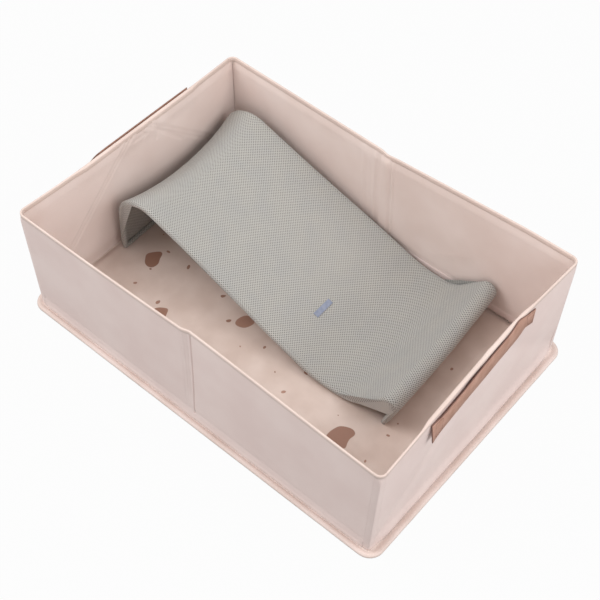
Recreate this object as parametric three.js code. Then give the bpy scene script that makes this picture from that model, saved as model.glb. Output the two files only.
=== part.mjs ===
// Foldable baby bathtub: a soft-sided box with stiff boards in its long walls,
// and a loose mesh bath seat on a wire frame that stands on its floor.
// Millimetres, +Z up. X runs along the tub, Y across it, and the origin is
// the middle of the flat bottom. The front long wall is at -Y.

import * as THREE from 'three';
import { mergeVertices } from 'three/addons/utils/BufferGeometryUtils.js';

// Overall sizes of the tub, without its hem
const tubLength = 760;
const tubWidth = 527;
const tubHeight = 250;
const gap = 0.3;

// Base: hem with its piping, bottom sheet, two boards and the floor sheet
const hemReach = 12;
const hemEndReach = 17;
const hemHeight = 7;
const hemCorner = 28;
const hemEdge = 2.2;
const bottomSheet = 1.2;
const baseBoard = 4;
const floorSheet = 1.2;
const boardHingeGap = 6;
const innerCorner = 10;

// Long walls: outer skin, board, liner, and the soft strip that they fold on
const skin = 1.2;
const wallBoard = 3;
const foldHeight = 25;
const foldClearance = 0.5;
const creaseGroove = 1;
const creaseHalfWidth = 3;
const boardTopRoom = 3;
const boardCorner = 6;
const webThickness = 1;

// End walls: outer skin, foam and liner, soft all through
const endSkin = 1.4;
const endFoam = 1.2;
const endLiner = 1.5;
const gussetDepth = 5;
const gussetSpreadShare = 0.1;
const endStationShares = [0, 0.06, 0.12, 0.2, 0.28, 0.36, 0.54, 0.75, 1];
const endLevelShares = [0, 0.2, 0.4, 0.55, 0.7, 0.82, 0.94];

// Rim binding and corner seams
const bindingTape = 1.2;
const bindingDepth = 11;
const cornerRound = 4;

// Carrying handles, one on each end wall, and their patches
const strapThickness = 2;
const strapHalfLength = 150;
const strapTabLength = 42;
const strapRise = 22;
const strapStandOff = 6.5;
const strapHeight = 36;
const strapTabHeight = 40;
const strapTopDrop = 8;
const strapTabDrop = 5;
const patchThickness = 1;
const patchFromShare = 0.36;
const patchToShare = 0.54;

// Bath seat: wire frame, sleeves, mesh sling and its small blank tab
const seatWidth = 308;
const seatSpread = 9;
const spreadX = 80;
const spreadReach = 200;
const seatTurn = THREE.MathUtils.degToRad(1.6);
const seatBackRoom = 18.5;
const wireRadius = 4;
const sleeveRadius = 6;
const slingThickness = 2;
const headX = -361.5;
const humpX = -352;
const humpHeight = 192;
const humpRadius = 62;
const dipX = 104;
const dipHeight = 16.5;
const dipRadius = 170;
const footRiseX = 180;
const footRiseHeight = 17.5;
const footRiseRadius = 60;
const ridgeX = 279;
const ridgeHeight = 120;
const ridgeRadius = 12;
const footX = 242;
const footSkew = 0.03;
const skewFrom = 120;
const skewTo = 240;
const sleeveStart = 5.5;
const humpSag = 24;
const slopeSag = 8;
const sagFade = 150;
const ridgeReach = 84;
const ridgeDrop = 18;
const ridgeFade = 55;
const slingShares = [-1, -0.8, -0.6, -0.44, -0.16, 0.16, 0.44, 0.6, 0.8, 1];
const labelShares = [-0.44, -0.16];
const labelWidth = 11;
const labelThickness = 0.8;
const labelX = 35;

// Places that follow from the sizes
const halfLength = tubLength / 2;
const halfWidth = tubWidth / 2;
const wallThickness = 2 * skin + wallBoard + 2 * gap;
const innerX = halfLength - wallThickness;
const innerY = halfWidth - wallThickness;
const stackTop = tubHeight - bindingTape - gap;
const bindingBottom = tubHeight - bindingDepth;
const wallBottom = foldHeight + foldClearance;
const hemTop = hemHeight + gap;
const boardBottom = bottomSheet + gap;
const boardTop = boardBottom + baseBoard;
const floorTop = boardTop + gap + floorSheet;
const strapTop = tubHeight - strapTopDrop;
const seatMiddleY = innerY - seatBackRoom - seatWidth / 2;

const finishes = {
  fabric: { color: 0xe2cfc6, roughness: 0.55, metalness: 0 },
  liner: { color: 0xd9c2b6, roughness: 0.45, metalness: 0 },
  binding: { color: 0xeeded6, roughness: 0.6, metalness: 0 },
  board: { color: 0xd8d8d4, roughness: 0.7, metalness: 0 },
  foam: { color: 0xf0ede6, roughness: 0.95, metalness: 0 },
  strap: { color: 0xa87e6e, roughness: 0.6, metalness: 0 },
  mesh: { color: 0xb0ada6, roughness: 0.9, metalness: 0 },
  wire: { color: 0xc9cacb, roughness: 0.35, metalness: 0.9 },
  label: { color: 0x8c93a6, roughness: 0.8, metalness: 0 },
};

// One named mesh of the assembly
function piece(name, geometry, finish) {
  const mesh = new THREE.Mesh(geometry, new THREE.MeshStandardMaterial(finishes[finish]));
  mesh.name = name;
  return mesh;
}

// Volume inside a mesh, negative when its faces point inwards
function signedVolume(points, faces) {
  let volume = 0;
  for (const [a, b, c] of faces) {
    volume += points[a].dot(new THREE.Vector3().crossVectors(points[b], points[c]));
  }
  return volume;
}

// Closed solid through sections that each hold an outline and how it is placed.
// The second half of an outline runs back beside its first half, so that flat
// ends fill with a strip, and both halves split their four-sided faces alike.
// A ring of sections closes on itself instead.
function loft(sections, ring = false) {
  const count = sections[0].outline.length;
  const points = sections.flatMap(({ outline, place }) => outline.map(place));
  const faces = [];
  const rows = ring ? sections.length : sections.length - 1;
  for (let row = 0; row < rows; row += 1) {
    const next = (row + 1) % sections.length;
    for (let column = 0; column < count; column += 1) {
      const side = (column + 1) % count;
      const here = row * count;
      const ahead = next * count;
      const corners = [here + column, here + side, ahead + side, ahead + column];
      const turn = column < count / 2 ? 0 : 1;
      const [a, b, c, d] = [...corners.slice(turn), ...corners.slice(0, turn)];
      faces.push([a, b, c], [a, c, d]);
    }
  }
  if (!ring) {
    const last = (sections.length - 1) * count;
    for (let column = 0; column < count / 2 - 1; column += 1) {
      const [a, b, c, d] = [column, column + 1, count - 2 - column, count - 1 - column];
      faces.push([c, b, a], [d, c, a]);
      faces.push([last + a, last + b, last + c], [last + a, last + c, last + d]);
    }
  }
  return meshed(points, faces);
}

// Geometry from points and faces, turned so that every face points out
function meshed(points, faces) {
  const outward = signedVolume(points, faces) > 0;
  const order = outward ? faces : faces.map(([a, b, c]) => [c, b, a]);
  const geometry = new THREE.BufferGeometry();
  const coordinates = points.flatMap((point) => point.toArray());
  geometry.setAttribute('position', new THREE.Float32BufferAttribute(coordinates, 3));
  geometry.setIndex(order.flat());
  return mergeVertices(geometry);
}

function rectangle(left, bottom, right, top) {
  return [
    new THREE.Vector2(left, bottom),
    new THREE.Vector2(right, bottom),
    new THREE.Vector2(right, top),
    new THREE.Vector2(left, top),
  ];
}

// Rounded rectangle round the origin, as a Shape or as a hole
function roundedOutline(halfX, halfY, radius, outline = new THREE.Shape()) {
  outline.moveTo(halfX, -halfY + radius);
  outline.lineTo(halfX, halfY - radius);
  outline.absarc(halfX - radius, halfY - radius, radius, 0, Math.PI / 2, false);
  outline.lineTo(-halfX + radius, halfY);
  outline.absarc(-halfX + radius, halfY - radius, radius, Math.PI / 2, Math.PI, false);
  outline.lineTo(-halfX, -halfY + radius);
  outline.absarc(-halfX + radius, -halfY + radius, radius, Math.PI, 1.5 * Math.PI, false);
  outline.lineTo(halfX - radius, -halfY);
  outline.absarc(halfX - radius, -halfY + radius, radius, 1.5 * Math.PI, 2 * Math.PI, false);
  return outline;
}

// Flat plate of a shape that lies level from bottom to top
function plate(shape, bottom, top) {
  const depth = top - bottom;
  const flat = new THREE.ExtrudeGeometry(shape, { depth, bevelEnabled: false, curveSegments: 6 });
  return flat.translate(0, 0, bottom);
}

// Plain block between two corners
function block(low, high) {
  const size = new THREE.Vector3().subVectors(high, low);
  const middle = new THREE.Vector3().addVectors(low, high).multiplyScalar(1 / 2);
  return new THREE.BoxGeometry(size.x, size.y, size.z).translate(middle.x, middle.y, middle.z);
}

// Base of the tub: what it stands on and what holds its floor flat
function buildBase() {
  const base = new THREE.Group();
  base.add(piece('base_hem', hemRing(), 'binding'));
  const sheetX = innerX - gap;
  const sheetY = innerY - gap;
  const bottom = plate(roundedOutline(sheetX, sheetY, innerCorner), 0, bottomSheet);
  base.add(piece('bottom_sheet', bottom, 'fabric'));
  const hingeHalf = boardHingeGap / 2;
  const boardHalf = (sheetX - hingeHalf) / 2;
  for (const [side, direction] of [['left', -1], ['right', 1]]) {
    const board = plate(roundedOutline(boardHalf, sheetY, innerCorner), boardBottom, boardTop);
    board.translate(direction * (hingeHalf + boardHalf), 0, 0);
    base.add(piece(`base_board_${side}`, board, 'board'));
  }
  const web = block(
    new THREE.Vector3(-hingeHalf + gap, -sheetY + innerCorner, boardBottom + gap),
    new THREE.Vector3(hingeHalf - gap, sheetY - innerCorner, boardBottom + gap + webThickness),
  );
  base.add(piece('base_fold_web', web, 'fabric'));
  const floor = plate(roundedOutline(sheetX, sheetY, innerCorner), boardTop + gap, floorTop);
  base.add(piece('floor_sheet', floor, 'liner'));
  for (const [side, direction] of [['front', -1], ['back', 1]]) {
    const strip = block(
      new THREE.Vector3(-innerX + gap, -halfWidth, hemTop),
      new THREE.Vector3(innerX - gap, -innerY, foldHeight - gap),
    );
    if (direction > 0) strip.rotateZ(Math.PI);
    base.add(piece(`${side}_fold_strip`, strip, 'fabric'));
  }
  return base;
}

// Hem that stands out all round the bottom, with a softly rounded edge
function hemRing() {
  const outerX = halfLength + hemEndReach - hemEdge;
  const outerY = halfWidth + hemReach - hemEdge;
  const ring = roundedOutline(outerX, outerY, hemCorner - hemEdge);
  const inside = [innerX, innerY, innerCorner].map((size) => size + hemEdge);
  ring.holes.push(roundedOutline(...inside, new THREE.Path()));
  const hem = new THREE.ExtrudeGeometry(ring, {
    depth: hemHeight - 2 * hemEdge,
    bevelThickness: hemEdge,
    bevelSize: hemEdge,
    bevelSegments: 2,
    curveSegments: 6,
  });
  hem.translate(0, 0, hemEdge);
  return hem;
}

// Binding tape over a wall's top edge, as an outline across the wall
function bindingOutline(outerFace) {
  const inner = outerFace - wallThickness - gap;
  const outer = outerFace + gap;
  return [
    new THREE.Vector2(inner - bindingTape, bindingBottom),
    new THREE.Vector2(inner - bindingTape, tubHeight),
    new THREE.Vector2(outer + bindingTape, tubHeight),
    new THREE.Vector2(outer + bindingTape, bindingBottom),
    new THREE.Vector2(outer, bindingBottom),
    new THREE.Vector2(outer, tubHeight - bindingTape),
    new THREE.Vector2(inner, tubHeight - bindingTape),
    new THREE.Vector2(inner, bindingBottom),
  ];
}

// Sheet of a long wall from one depth to the next, dented along its middle
// crease towards the inside of the wall
function creasedSheet(fromFace, toFace, groove) {
  const reach = innerX - gap;
  const stations = [-reach, -creaseHalfWidth, 0, creaseHalfWidth, reach];
  return loft(stations.map((x) => ({
    outline: rectangle(fromFace, wallBottom, toFace, stackTop),
    place: ({ x: depth, y: z }) => new THREE.Vector3(x, -depth - (x === 0 ? groove : 0), z),
  })));
}

// One long wall, built at -Y and turned round for the back
function buildLongWall(side) {
  const wall = new THREE.Group();
  const boardOuter = halfWidth - skin - gap;
  const boardInner = boardOuter - wallBoard;
  const outerSheet = creasedSheet(halfWidth - skin, halfWidth, -creaseGroove);
  const innerSheet = creasedSheet(innerY, innerY + skin, creaseGroove);
  wall.add(piece(`${side}_wall_skin`, outerSheet, 'fabric'));
  wall.add(piece(`${side}_wall_liner`, innerSheet, 'liner'));
  const reach = innerX - boardHingeGap;
  const hingeHalf = creaseHalfWidth + gap;
  const boardHalf = (reach - hingeHalf) / 2;
  const boardBase = wallBottom + foldClearance;
  const boardHeight = stackTop - boardTopRoom - boardBase;
  for (const [end, direction] of [['left', -1], ['right', 1]]) {
    const shape = roundedOutline(boardHalf, boardHeight / 2, boardCorner);
    const board = plate(shape, boardInner, boardOuter).rotateX(Math.PI / 2);
    board.translate(direction * (hingeHalf + boardHalf), 0, boardBase + boardHeight / 2);
    wall.add(piece(`${side}_wall_board_${end}`, board, 'board'));
  }
  const webMiddle = (boardOuter + boardInner) / 2;
  const webTop = boardBase + boardHeight - boardCorner;
  const web = block(
    new THREE.Vector3(-creaseHalfWidth, -webMiddle - webThickness / 2, boardBase + boardCorner),
    new THREE.Vector3(creaseHalfWidth, -webMiddle + webThickness / 2, webTop),
  );
  wall.add(piece(`${side}_wall_crease_web`, web, 'fabric'));
  const rim = loft([-1, 1].map((direction) => ({
    outline: bindingOutline(halfWidth),
    place: ({ x: depth, y: z }) => new THREE.Vector3(direction * (innerX - gap), -depth, z),
  })));
  wall.add(piece(`${side}_wall_rim`, rim, 'binding'));
  if (side === 'back') wall.rotation.z = Math.PI;
  return wall;
}

// How far an end wall is drawn in where its folded gusset keeps its creases,
// two lines that run from the middle of the rim down to the bottom corners
function gussetDraw(y, z) {
  const level = Math.min(z, bindingBottom - gap);
  const offCrease = Math.abs(y) / halfWidth + level / tubHeight - 1;
  return gussetDepth * (level / tubHeight) * Math.exp(-((offCrease / gussetSpreadShare) ** 2));
}

// Places along an end wall, with both halves alike
function endStations(reach) {
  const right = endStationShares.map((share) => share * reach);
  const left = right.slice(1).map((y) => -y).reverse();
  return [...left, ...right];
}

function endLevels() {
  const span = bindingBottom - gap - hemTop;
  const lower = endLevelShares.map((share) => hemTop + share * span / endLevelShares.at(-1));
  return [...lower, stackTop];
}

// Sheet of an end wall between two depths, through given stations and levels
function gussetSheet(fromFace, toFace, stations, levels) {
  const up = levels.map((z) => new THREE.Vector2(fromFace, z));
  const down = levels.map((z) => new THREE.Vector2(toFace, z)).reverse();
  return loft(stations.map((y) => ({
    outline: [...up, ...down],
    place: ({ x: depth, y: z }) => new THREE.Vector3(depth - gussetDraw(y, z), y, z),
  })));
}

// One end wall with its handle, built at +X and turned round for the left
function buildEndWall(side) {
  const wall = new THREE.Group();
  const reach = innerY;
  const stations = endStations(reach);
  const levels = endLevels();
  const foamFrom = innerX + endLiner + gap;
  const skinFrom = halfLength - endSkin;
  const layers = [
    ['liner', innerX, innerX + endLiner, 'liner'],
    ['foam', foamFrom, foamFrom + endFoam, 'foam'],
    ['skin', skinFrom, halfLength, 'fabric'],
  ];
  for (const [layer, from, to, finish] of layers) {
    wall.add(piece(`${side}_end_${layer}`, gussetSheet(from, to, stations, levels), finish));
  }
  const rimReach = innerY - bindingTape - 2 * gap;
  const rim = loft(endStations(rimReach).map((y) => ({
    outline: bindingOutline(halfLength),
    place: ({ x: depth, y: z }) => new THREE.Vector3(depth - gussetDraw(y, bindingBottom), y, z),
  })));
  wall.add(piece(`${side}_end_rim`, rim, 'binding'));
  const patchFrom = foamFrom + endFoam + gap;
  const patchLevels = levels.slice(4, 7);
  for (const [end, direction] of [['front', -1], ['back', 1]]) {
    const ends = [patchFromShare, patchToShare].map((share) => direction * share * reach);
    const places = ends.sort((a, b) => a - b);
    const patch = gussetSheet(patchFrom, patchFrom + patchThickness, places, patchLevels);
    wall.add(piece(`${side}_handle_patch_${end}`, patch, 'fabric'));
    wall.add(piece(`corner_seam_${end}_${side}`, cornerSeam(direction), 'binding'));
  }
  wall.add(piece(`${side}_handle`, handleStrap(), 'strap'));
  if (side === 'left') wall.scale.x = -1;
  return wall;
}

// Upright bound seam that joins an end wall to a long wall
function cornerSeam(direction) {
  const nearX = innerX;
  const nearY = innerY + gap;
  const shape = new THREE.Shape();
  shape.moveTo(nearX, nearY);
  shape.lineTo(halfLength, nearY);
  shape.lineTo(halfLength, halfWidth - cornerRound);
  shape.absarc(halfLength - cornerRound, halfWidth - cornerRound, cornerRound, 0, Math.PI / 2, false);
  shape.lineTo(nearX, halfWidth);
  const seam = plate(shape, hemTop, tubHeight);
  if (direction < 0) seam.rotateX(Math.PI).translate(0, 0, hemTop + tubHeight);
  return seam;
}

// Strap whose ends lie flat on the skin and whose middle stands off it
function handleStrap() {
  const tabInner = strapHalfLength - strapTabLength;
  const bowEnd = tabInner - strapRise;
  const half = [
    { y: 0, off: strapStandOff, drop: 0, height: strapHeight },
    { y: bowEnd / 2, off: strapStandOff, drop: 0, height: strapHeight },
    { y: bowEnd, off: strapStandOff - strapThickness / 2, drop: strapTabDrop / 4, height: strapHeight },
    { y: tabInner, off: gap, drop: 3 * strapTabDrop / 4, height: (strapHeight + strapTabHeight) / 2 },
    { y: tabInner + strapTabLength / 3, off: gap, drop: strapTabDrop, height: strapTabHeight },
    { y: strapHalfLength, off: gap, drop: strapTabDrop, height: strapTabHeight },
  ];
  const mirrored = half.slice(1).map((place) => ({ ...place, y: -place.y })).reverse();
  return loft([...mirrored, ...half].map(({ y, off, drop, height }) => ({
    outline: rectangle(off, strapTop - drop - height, off + strapThickness, strapTop - drop),
    place: ({ x: depth, y: z }) => new THREE.Vector3(halfLength + depth, y, z),
  })));
}

// Route of the seat's side wires in its X-Z plane, from the head's foot over
// the hump, down the slope and over the ridge to the foot end
function seatRoute() {
  const ground = floorTop + gap + wireRadius;
  const corners = [
    { x: headX, z: ground, radius: 0 },
    { x: humpX, z: humpHeight, radius: humpRadius },
    { x: dipX, z: dipHeight, radius: dipRadius },
    { x: footRiseX, z: footRiseHeight, radius: footRiseRadius },
    { x: ridgeX, z: ridgeHeight, radius: ridgeRadius },
    { x: footX, z: ground, radius: 0 },
  ];
  return roundedRoute(corners.map(({ x, z, radius }) => ({ spot: new THREE.Vector2(x, z), radius })));
}

// Points of a line through corners, each rounded by its own radius
function roundedRoute(corners) {
  const degreesPerStep = 18;
  const straightSteps = 4;
  const points = [corners[0].spot.clone()];
  for (let index = 1; index < corners.length; index += 1) {
    const { spot, radius } = corners[index];
    const last = index === corners.length - 1;
    const into = new THREE.Vector2().subVectors(spot, corners[index - 1].spot).normalize();
    const out = last ? into : new THREE.Vector2().subVectors(corners[index + 1].spot, spot).normalize();
    const turn = last ? 0 : Math.atan2(into.cross(out), into.dot(out));
    const tangent = radius * Math.tan(Math.abs(turn) / 2);
    const start = spot.clone().addScaledVector(into, -tangent);
    const from = points.at(-1).clone();
    for (let step = 1; step <= straightSteps; step += 1) {
      points.push(from.clone().lerp(start, step / straightSteps));
    }
    if (last) break;
    const toCentre = new THREE.Vector2(-into.y, into.x).multiplyScalar(Math.sign(turn) * radius);
    const centre = start.clone().add(toCentre);
    const steps = Math.max(2, Math.ceil(Math.abs(THREE.MathUtils.radToDeg(turn)) / degreesPerStep));
    for (let step = 1; step <= steps; step += 1) {
      points.push(start.clone().rotateAround(centre, turn * step / steps));
    }
  }
  return points;
}

// How far the side wires bow outwards beside a place along the seat
function spreadAt(x) {
  return seatSpread * Math.exp(-(((x - spreadX) / spreadReach) ** 2));
}

// Each point of a route with the way along it, the side it faces and how far
// along it lies
function routeFrames(points) {
  let travelled = 0;
  return points.map((point, index) => {
    const before = points[Math.max(index - 1, 0)];
    const after = points[Math.min(index + 1, points.length - 1)];
    travelled += point.distanceTo(before);
    const along = new THREE.Vector2().subVectors(after, before).normalize();
    return { point, out: new THREE.Vector2(-along.y, along.x), travelled };
  });
}

// Part of a route between two distances from its ends, cut square
function trimmedFrames(frames, fromStart, fromEnd) {
  const total = frames.at(-1).travelled;
  const inside = frames.filter(({ travelled }) => travelled > fromStart && travelled < total - fromEnd);
  const shifted = (frame, neighbour, distance) => ({
    ...frame,
    travelled: distance,
    point: frame.point.clone().lerp(neighbour.point, (distance - frame.travelled)
      / (neighbour.travelled - frame.travelled)),
  });
  const first = shifted(frames[0], inside[0], fromStart);
  const last = shifted(frames.at(-1), inside.at(-1), total - fromEnd);
  return [first, ...inside, last];
}

function circleOutline(radius, sides) {
  return Array.from({ length: sides }, (_, index) => {
    const angle = 2 * Math.PI * index / sides;
    return new THREE.Vector2(radius * Math.cos(angle), radius * Math.sin(angle));
  });
}

// How far the foot end stands askew, as a share of the way across
function skewAt(x) {
  return footSkew * THREE.MathUtils.smoothstep(x, skewFrom, skewTo);
}

// Spot beside a route: so far across, and so far out from it
function besideRoute({ point, out }, across, off) {
  const x = point.x + out.x * off - skewAt(point.x) * across;
  return new THREE.Vector3(x, across, point.y + out.y * off);
}

// Middle of a side wire across the seat, on the front side or the back one
function wireAcross(point, direction) {
  return direction * (seatWidth / 2 - sleeveRadius + spreadAt(point.x));
}

function sideWire(frames, direction) {
  return loft(frames.map((frame) => ({
    outline: circleOutline(wireRadius, 8),
    place: ({ x, y }) => besideRoute(frame, wireAcross(frame.point, direction) + x, y),
  })));
}

// Hollow sleeve round a side wire: its wall goes out along the outer face
// and comes back along the inner one
function wireSleeve(frames, direction) {
  const boreRadius = wireRadius + gap;
  const bore = [...frames].reverse();
  return loft(circleOutline(1, 10).map((unit) => ({
    outline: [...frames, ...bore].map((frame, index) => (
      new THREE.Vector2(index, index < frames.length ? sleeveRadius : boreRadius))),
    place: ({ x: index, y: radius }) => {
      const frame = index < frames.length ? frames[index] : bore[index - frames.length];
      return besideRoute(frame, wireAcross(frame.point, direction) + radius * unit.x, radius * unit.y);
    },
  })), true);
}

// How far the sling hangs below its sleeves in the middle, most at the hump
function slingSag(travelled, total) {
  const humpDistance = Math.hypot(humpX - headX, humpHeight) - humpRadius / 2;
  const nearHump = Math.exp(-(((travelled - humpDistance) / sagFade) ** 2));
  const ends = Math.min(1, travelled / sagFade, (total - travelled - ridgeReach) / sagFade);
  return (slopeSag + (humpSag - slopeSag) * nearHump) * Math.max(0, ends);
}

// How far the sling droops straight down between the wires at the ridge
function slingDrop(travelled, total) {
  const left = total - travelled;
  return ridgeDrop * Math.exp(-(((left - ridgeReach) / ridgeFade) ** 2)) * Math.min(1, left / ridgeReach);
}

// Spots of the sling beside one frame of the route, by their share of its
// reach to each side and how far out they lie
function slingPlace(frame, total) {
  const under = sleeveRadius - slingThickness;
  const reach = wireAcross(frame.point, 1) - Math.sqrt(sleeveRadius ** 2 - under ** 2) - gap;
  const sag = slingSag(frame.travelled, total);
  const drop = slingDrop(frame.travelled, total);
  return ({ x: share, y: off }) => {
    const inner = 1 - share ** 2;
    return besideRoute(frame, share * reach, off - sag * inner).setZ(
      frame.point.y + frame.out.y * (off - sag * inner) - drop * inner,
    );
  };
}

// Strip of cloth across the sling, between two levels
function acrossOutline(shares, lower, upper) {
  const top = shares.map((share) => new THREE.Vector2(share, upper));
  const under = shares.map((share) => new THREE.Vector2(share, lower)).reverse();
  return [...top, ...under];
}

// Mesh sling between the two sleeves, in one sheet over hump, slope and ridge
function meshSling(frames) {
  const total = frames.at(-1).travelled;
  return loft(frames.map((frame) => ({
    outline: acrossOutline(slingShares, sleeveRadius - slingThickness, sleeveRadius),
    place: slingPlace(frame, total),
  })));
}

// Small blank tab sewn flat on the slope of the sling
function seatLabel(frames) {
  const total = frames.at(-1).travelled;
  const index = frames.findIndex(({ point }) => point.x > labelX);
  const [before, after] = [frames[index - 1], frames[index]];
  const middle = (labelX - before.point.x) / (after.point.x - before.point.x);
  const half = labelWidth / 2 / after.point.distanceTo(before.point);
  const from = slingPlace(before, total);
  const to = slingPlace(after, total);
  const lower = sleeveRadius + gap;
  return loft([middle - half, middle + half].map((share) => ({
    outline: acrossOutline(labelShares, lower, lower + labelThickness),
    place: (spot) => from(spot).lerp(to(spot), share),
  })));
}

// Cross bar between the two side wires
function crossBar(spot) {
  const skew = skewAt(spot.x);
  const length = 2 * (wireAcross(spot, 1) - wireRadius * (1 + skew) - gap);
  const bar = new THREE.CylinderGeometry(wireRadius, wireRadius, length, 10);
  return bar.rotateZ(Math.atan(skew)).translate(spot.x, 0, spot.y);
}

// Loose bath seat, turned a little on the floor as it stands there
function buildSeat() {
  const seat = new THREE.Group();
  const route = seatRoute();
  const frames = routeFrames(route);
  const sleeved = trimmedFrames(frames, sleeveStart, sleeveStart);
  for (const [side, direction] of [['front', -1], ['back', 1]]) {
    seat.add(piece(`seat_wire_${side}`, sideWire(frames, direction), 'wire'));
    seat.add(piece(`seat_sleeve_${side}`, wireSleeve(sleeved, direction), 'mesh'));
  }
  seat.add(piece('seat_head_bar', crossBar(route[0]), 'wire'));
  seat.add(piece('seat_foot_bar', crossBar(route.at(-1)), 'wire'));
  seat.add(piece('seat_sling', meshSling(sleeved), 'mesh'));
  seat.add(piece('seat_tab', seatLabel(sleeved), 'label'));
  seat.position.y = seatMiddleY;
  seat.rotation.z = seatTurn;
  return seat;
}

const bathtub = new THREE.Group();
bathtub.add(buildBase());
bathtub.add(buildLongWall('front'));
bathtub.add(buildLongWall('back'));
bathtub.add(buildEndWall('right'));
bathtub.add(buildEndWall('left'));
bathtub.add(buildSeat());

export default bathtub;
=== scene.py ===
"""A folding baby bathtub of coated cloth, with a mesh bath seat in it.

Sizes are in millimetres and become metres where a mesh is finished. X runs along the tub,
Y from its front to its back and Z up from the ground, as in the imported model.
"""

import logging
import math
from dataclasses import dataclass, field
from enum import Enum
from typing import Callable, Iterable, Optional, Sequence, Union

import bmesh
import bpy
from mathutils import Matrix, Vector, noise


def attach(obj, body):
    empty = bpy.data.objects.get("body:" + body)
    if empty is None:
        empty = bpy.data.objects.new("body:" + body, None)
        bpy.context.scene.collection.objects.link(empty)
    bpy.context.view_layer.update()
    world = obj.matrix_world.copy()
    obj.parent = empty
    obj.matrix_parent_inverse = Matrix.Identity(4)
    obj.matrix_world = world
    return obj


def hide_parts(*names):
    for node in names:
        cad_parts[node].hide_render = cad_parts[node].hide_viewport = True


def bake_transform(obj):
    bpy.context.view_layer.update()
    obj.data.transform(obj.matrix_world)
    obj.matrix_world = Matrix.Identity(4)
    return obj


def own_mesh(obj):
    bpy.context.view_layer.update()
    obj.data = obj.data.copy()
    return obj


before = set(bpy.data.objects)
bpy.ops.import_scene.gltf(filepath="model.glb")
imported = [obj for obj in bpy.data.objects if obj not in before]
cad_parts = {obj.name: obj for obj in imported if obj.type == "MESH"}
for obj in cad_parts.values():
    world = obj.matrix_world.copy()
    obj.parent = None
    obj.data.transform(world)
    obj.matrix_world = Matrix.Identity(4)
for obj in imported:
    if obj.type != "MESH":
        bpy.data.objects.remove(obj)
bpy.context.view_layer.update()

LOG = logging.getLogger("bathtub")
UP = Vector((0.0, 0.0, 1.0))
# A millimetre in metres, and the distance in metres under which two points become one
MM = 0.001
MERGE = 2e-6
# Millimetres: how far a cloth's second row lies from its edge, and next to nothing
HAIR = 0.3
TINY = 1e-6

Place = Callable[[float, float], Vector]
# A shader node's term and its colour: each given outright, or by another node's socket
Term = Union[float, bpy.types.NodeSocket]
Tone = Union[str, bpy.types.NodeSocket]


class Side(Enum):
    """The two long walls, by the sign of Y."""

    FRONT = -1
    BACK = 1


class End(Enum):
    """The two end walls, by the sign of X."""

    LEFT = -1
    RIGHT = 1


def smooth(low: float, high: float, value: float) -> float:
    """Eases from 0 at low to 1 at high.

    Args:
        low: where the step starts.
        high: where it ends.
        value: the place asked for.

    Returns:
        A share from 0 to 1.
    """
    share = min(1.0, max(0.0, (value - low) / (high - low)))
    return share * share * (3.0 - 2.0 * share)


def bell(distance: float, width: float) -> float:
    """Returns a bell curve's height at a distance, 1 at its middle."""
    return math.exp(-((distance / width) ** 2))


def mix(first: float, second: float, share: float) -> float:
    """Returns the value that lies a share of the way from first to second."""
    return first + (second - first) * share


def stations(*spans: tuple[float, float, float]) -> list[float]:
    """Lays stations over spans that follow one another.

    Args:
        spans: start, end and longest step of each span.

    Returns:
        The stations in order, each once.
    """
    found = [spans[0][0]]
    for start, end, step in spans:
        count = max(1, math.ceil(abs(end - start) / step - 1e-9))
        found += [mix(start, end, (i + 1) / count) for i in range(count)]
    return found


def hemmed(found: list[float]) -> list[float]:
    """Adds a station close to each end, so that a cloth shades evenly up to its edge."""
    return [found[0], found[0] + HAIR, *found[1:-1], found[-1] - HAIR, found[-1]]


def waves(x: float, y: float, size: float, seed: float) -> float:
    """Returns a soft wave from about -1 to 1 whose bumps are size apart."""
    return noise.noise(Vector((x / size, y / size, seed)))


def around(count: int) -> list[float]:
    """Returns the stations of a ring of points, with its first point again at the end."""
    return [float(i) for i in range(count + 1)]


def link_piece(name: str, mesh: bmesh.types.BMesh) -> bpy.types.Object:
    """Makes a piece from a finished mesh.

    Args:
        name: the piece's name.
        mesh: its mesh, in metres, which is freed.

    Returns:
        The new object, linked to the scene.
    """
    data = bpy.data.meshes.new(name)
    mesh.to_mesh(data)
    mesh.free()
    piece = bpy.data.objects.new(name, data)
    bpy.context.scene.collection.objects.link(piece)
    return piece


@dataclass(frozen=True)
class Crease:
    """A fold line pressed into cloth, from one point of the sheet to another."""

    start: tuple[float, float]
    end: tuple[float, float]
    depth: float
    width: float

    def at(self, u: float, v: float) -> float:
        """Returns how deep the fold is at a point of the sheet.

        Args:
            u: place along the sheet.
            v: place up the sheet.

        Returns:
            The depth, in millimetres.
        """
        a, b, p = Vector(self.start), Vector(self.end), Vector((u, v))
        run = b - a
        share = min(1.0, max(0.0, (p - a).dot(run) / run.length_squared))
        return self.depth * bell((p - a - run * share).length, self.width)


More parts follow.
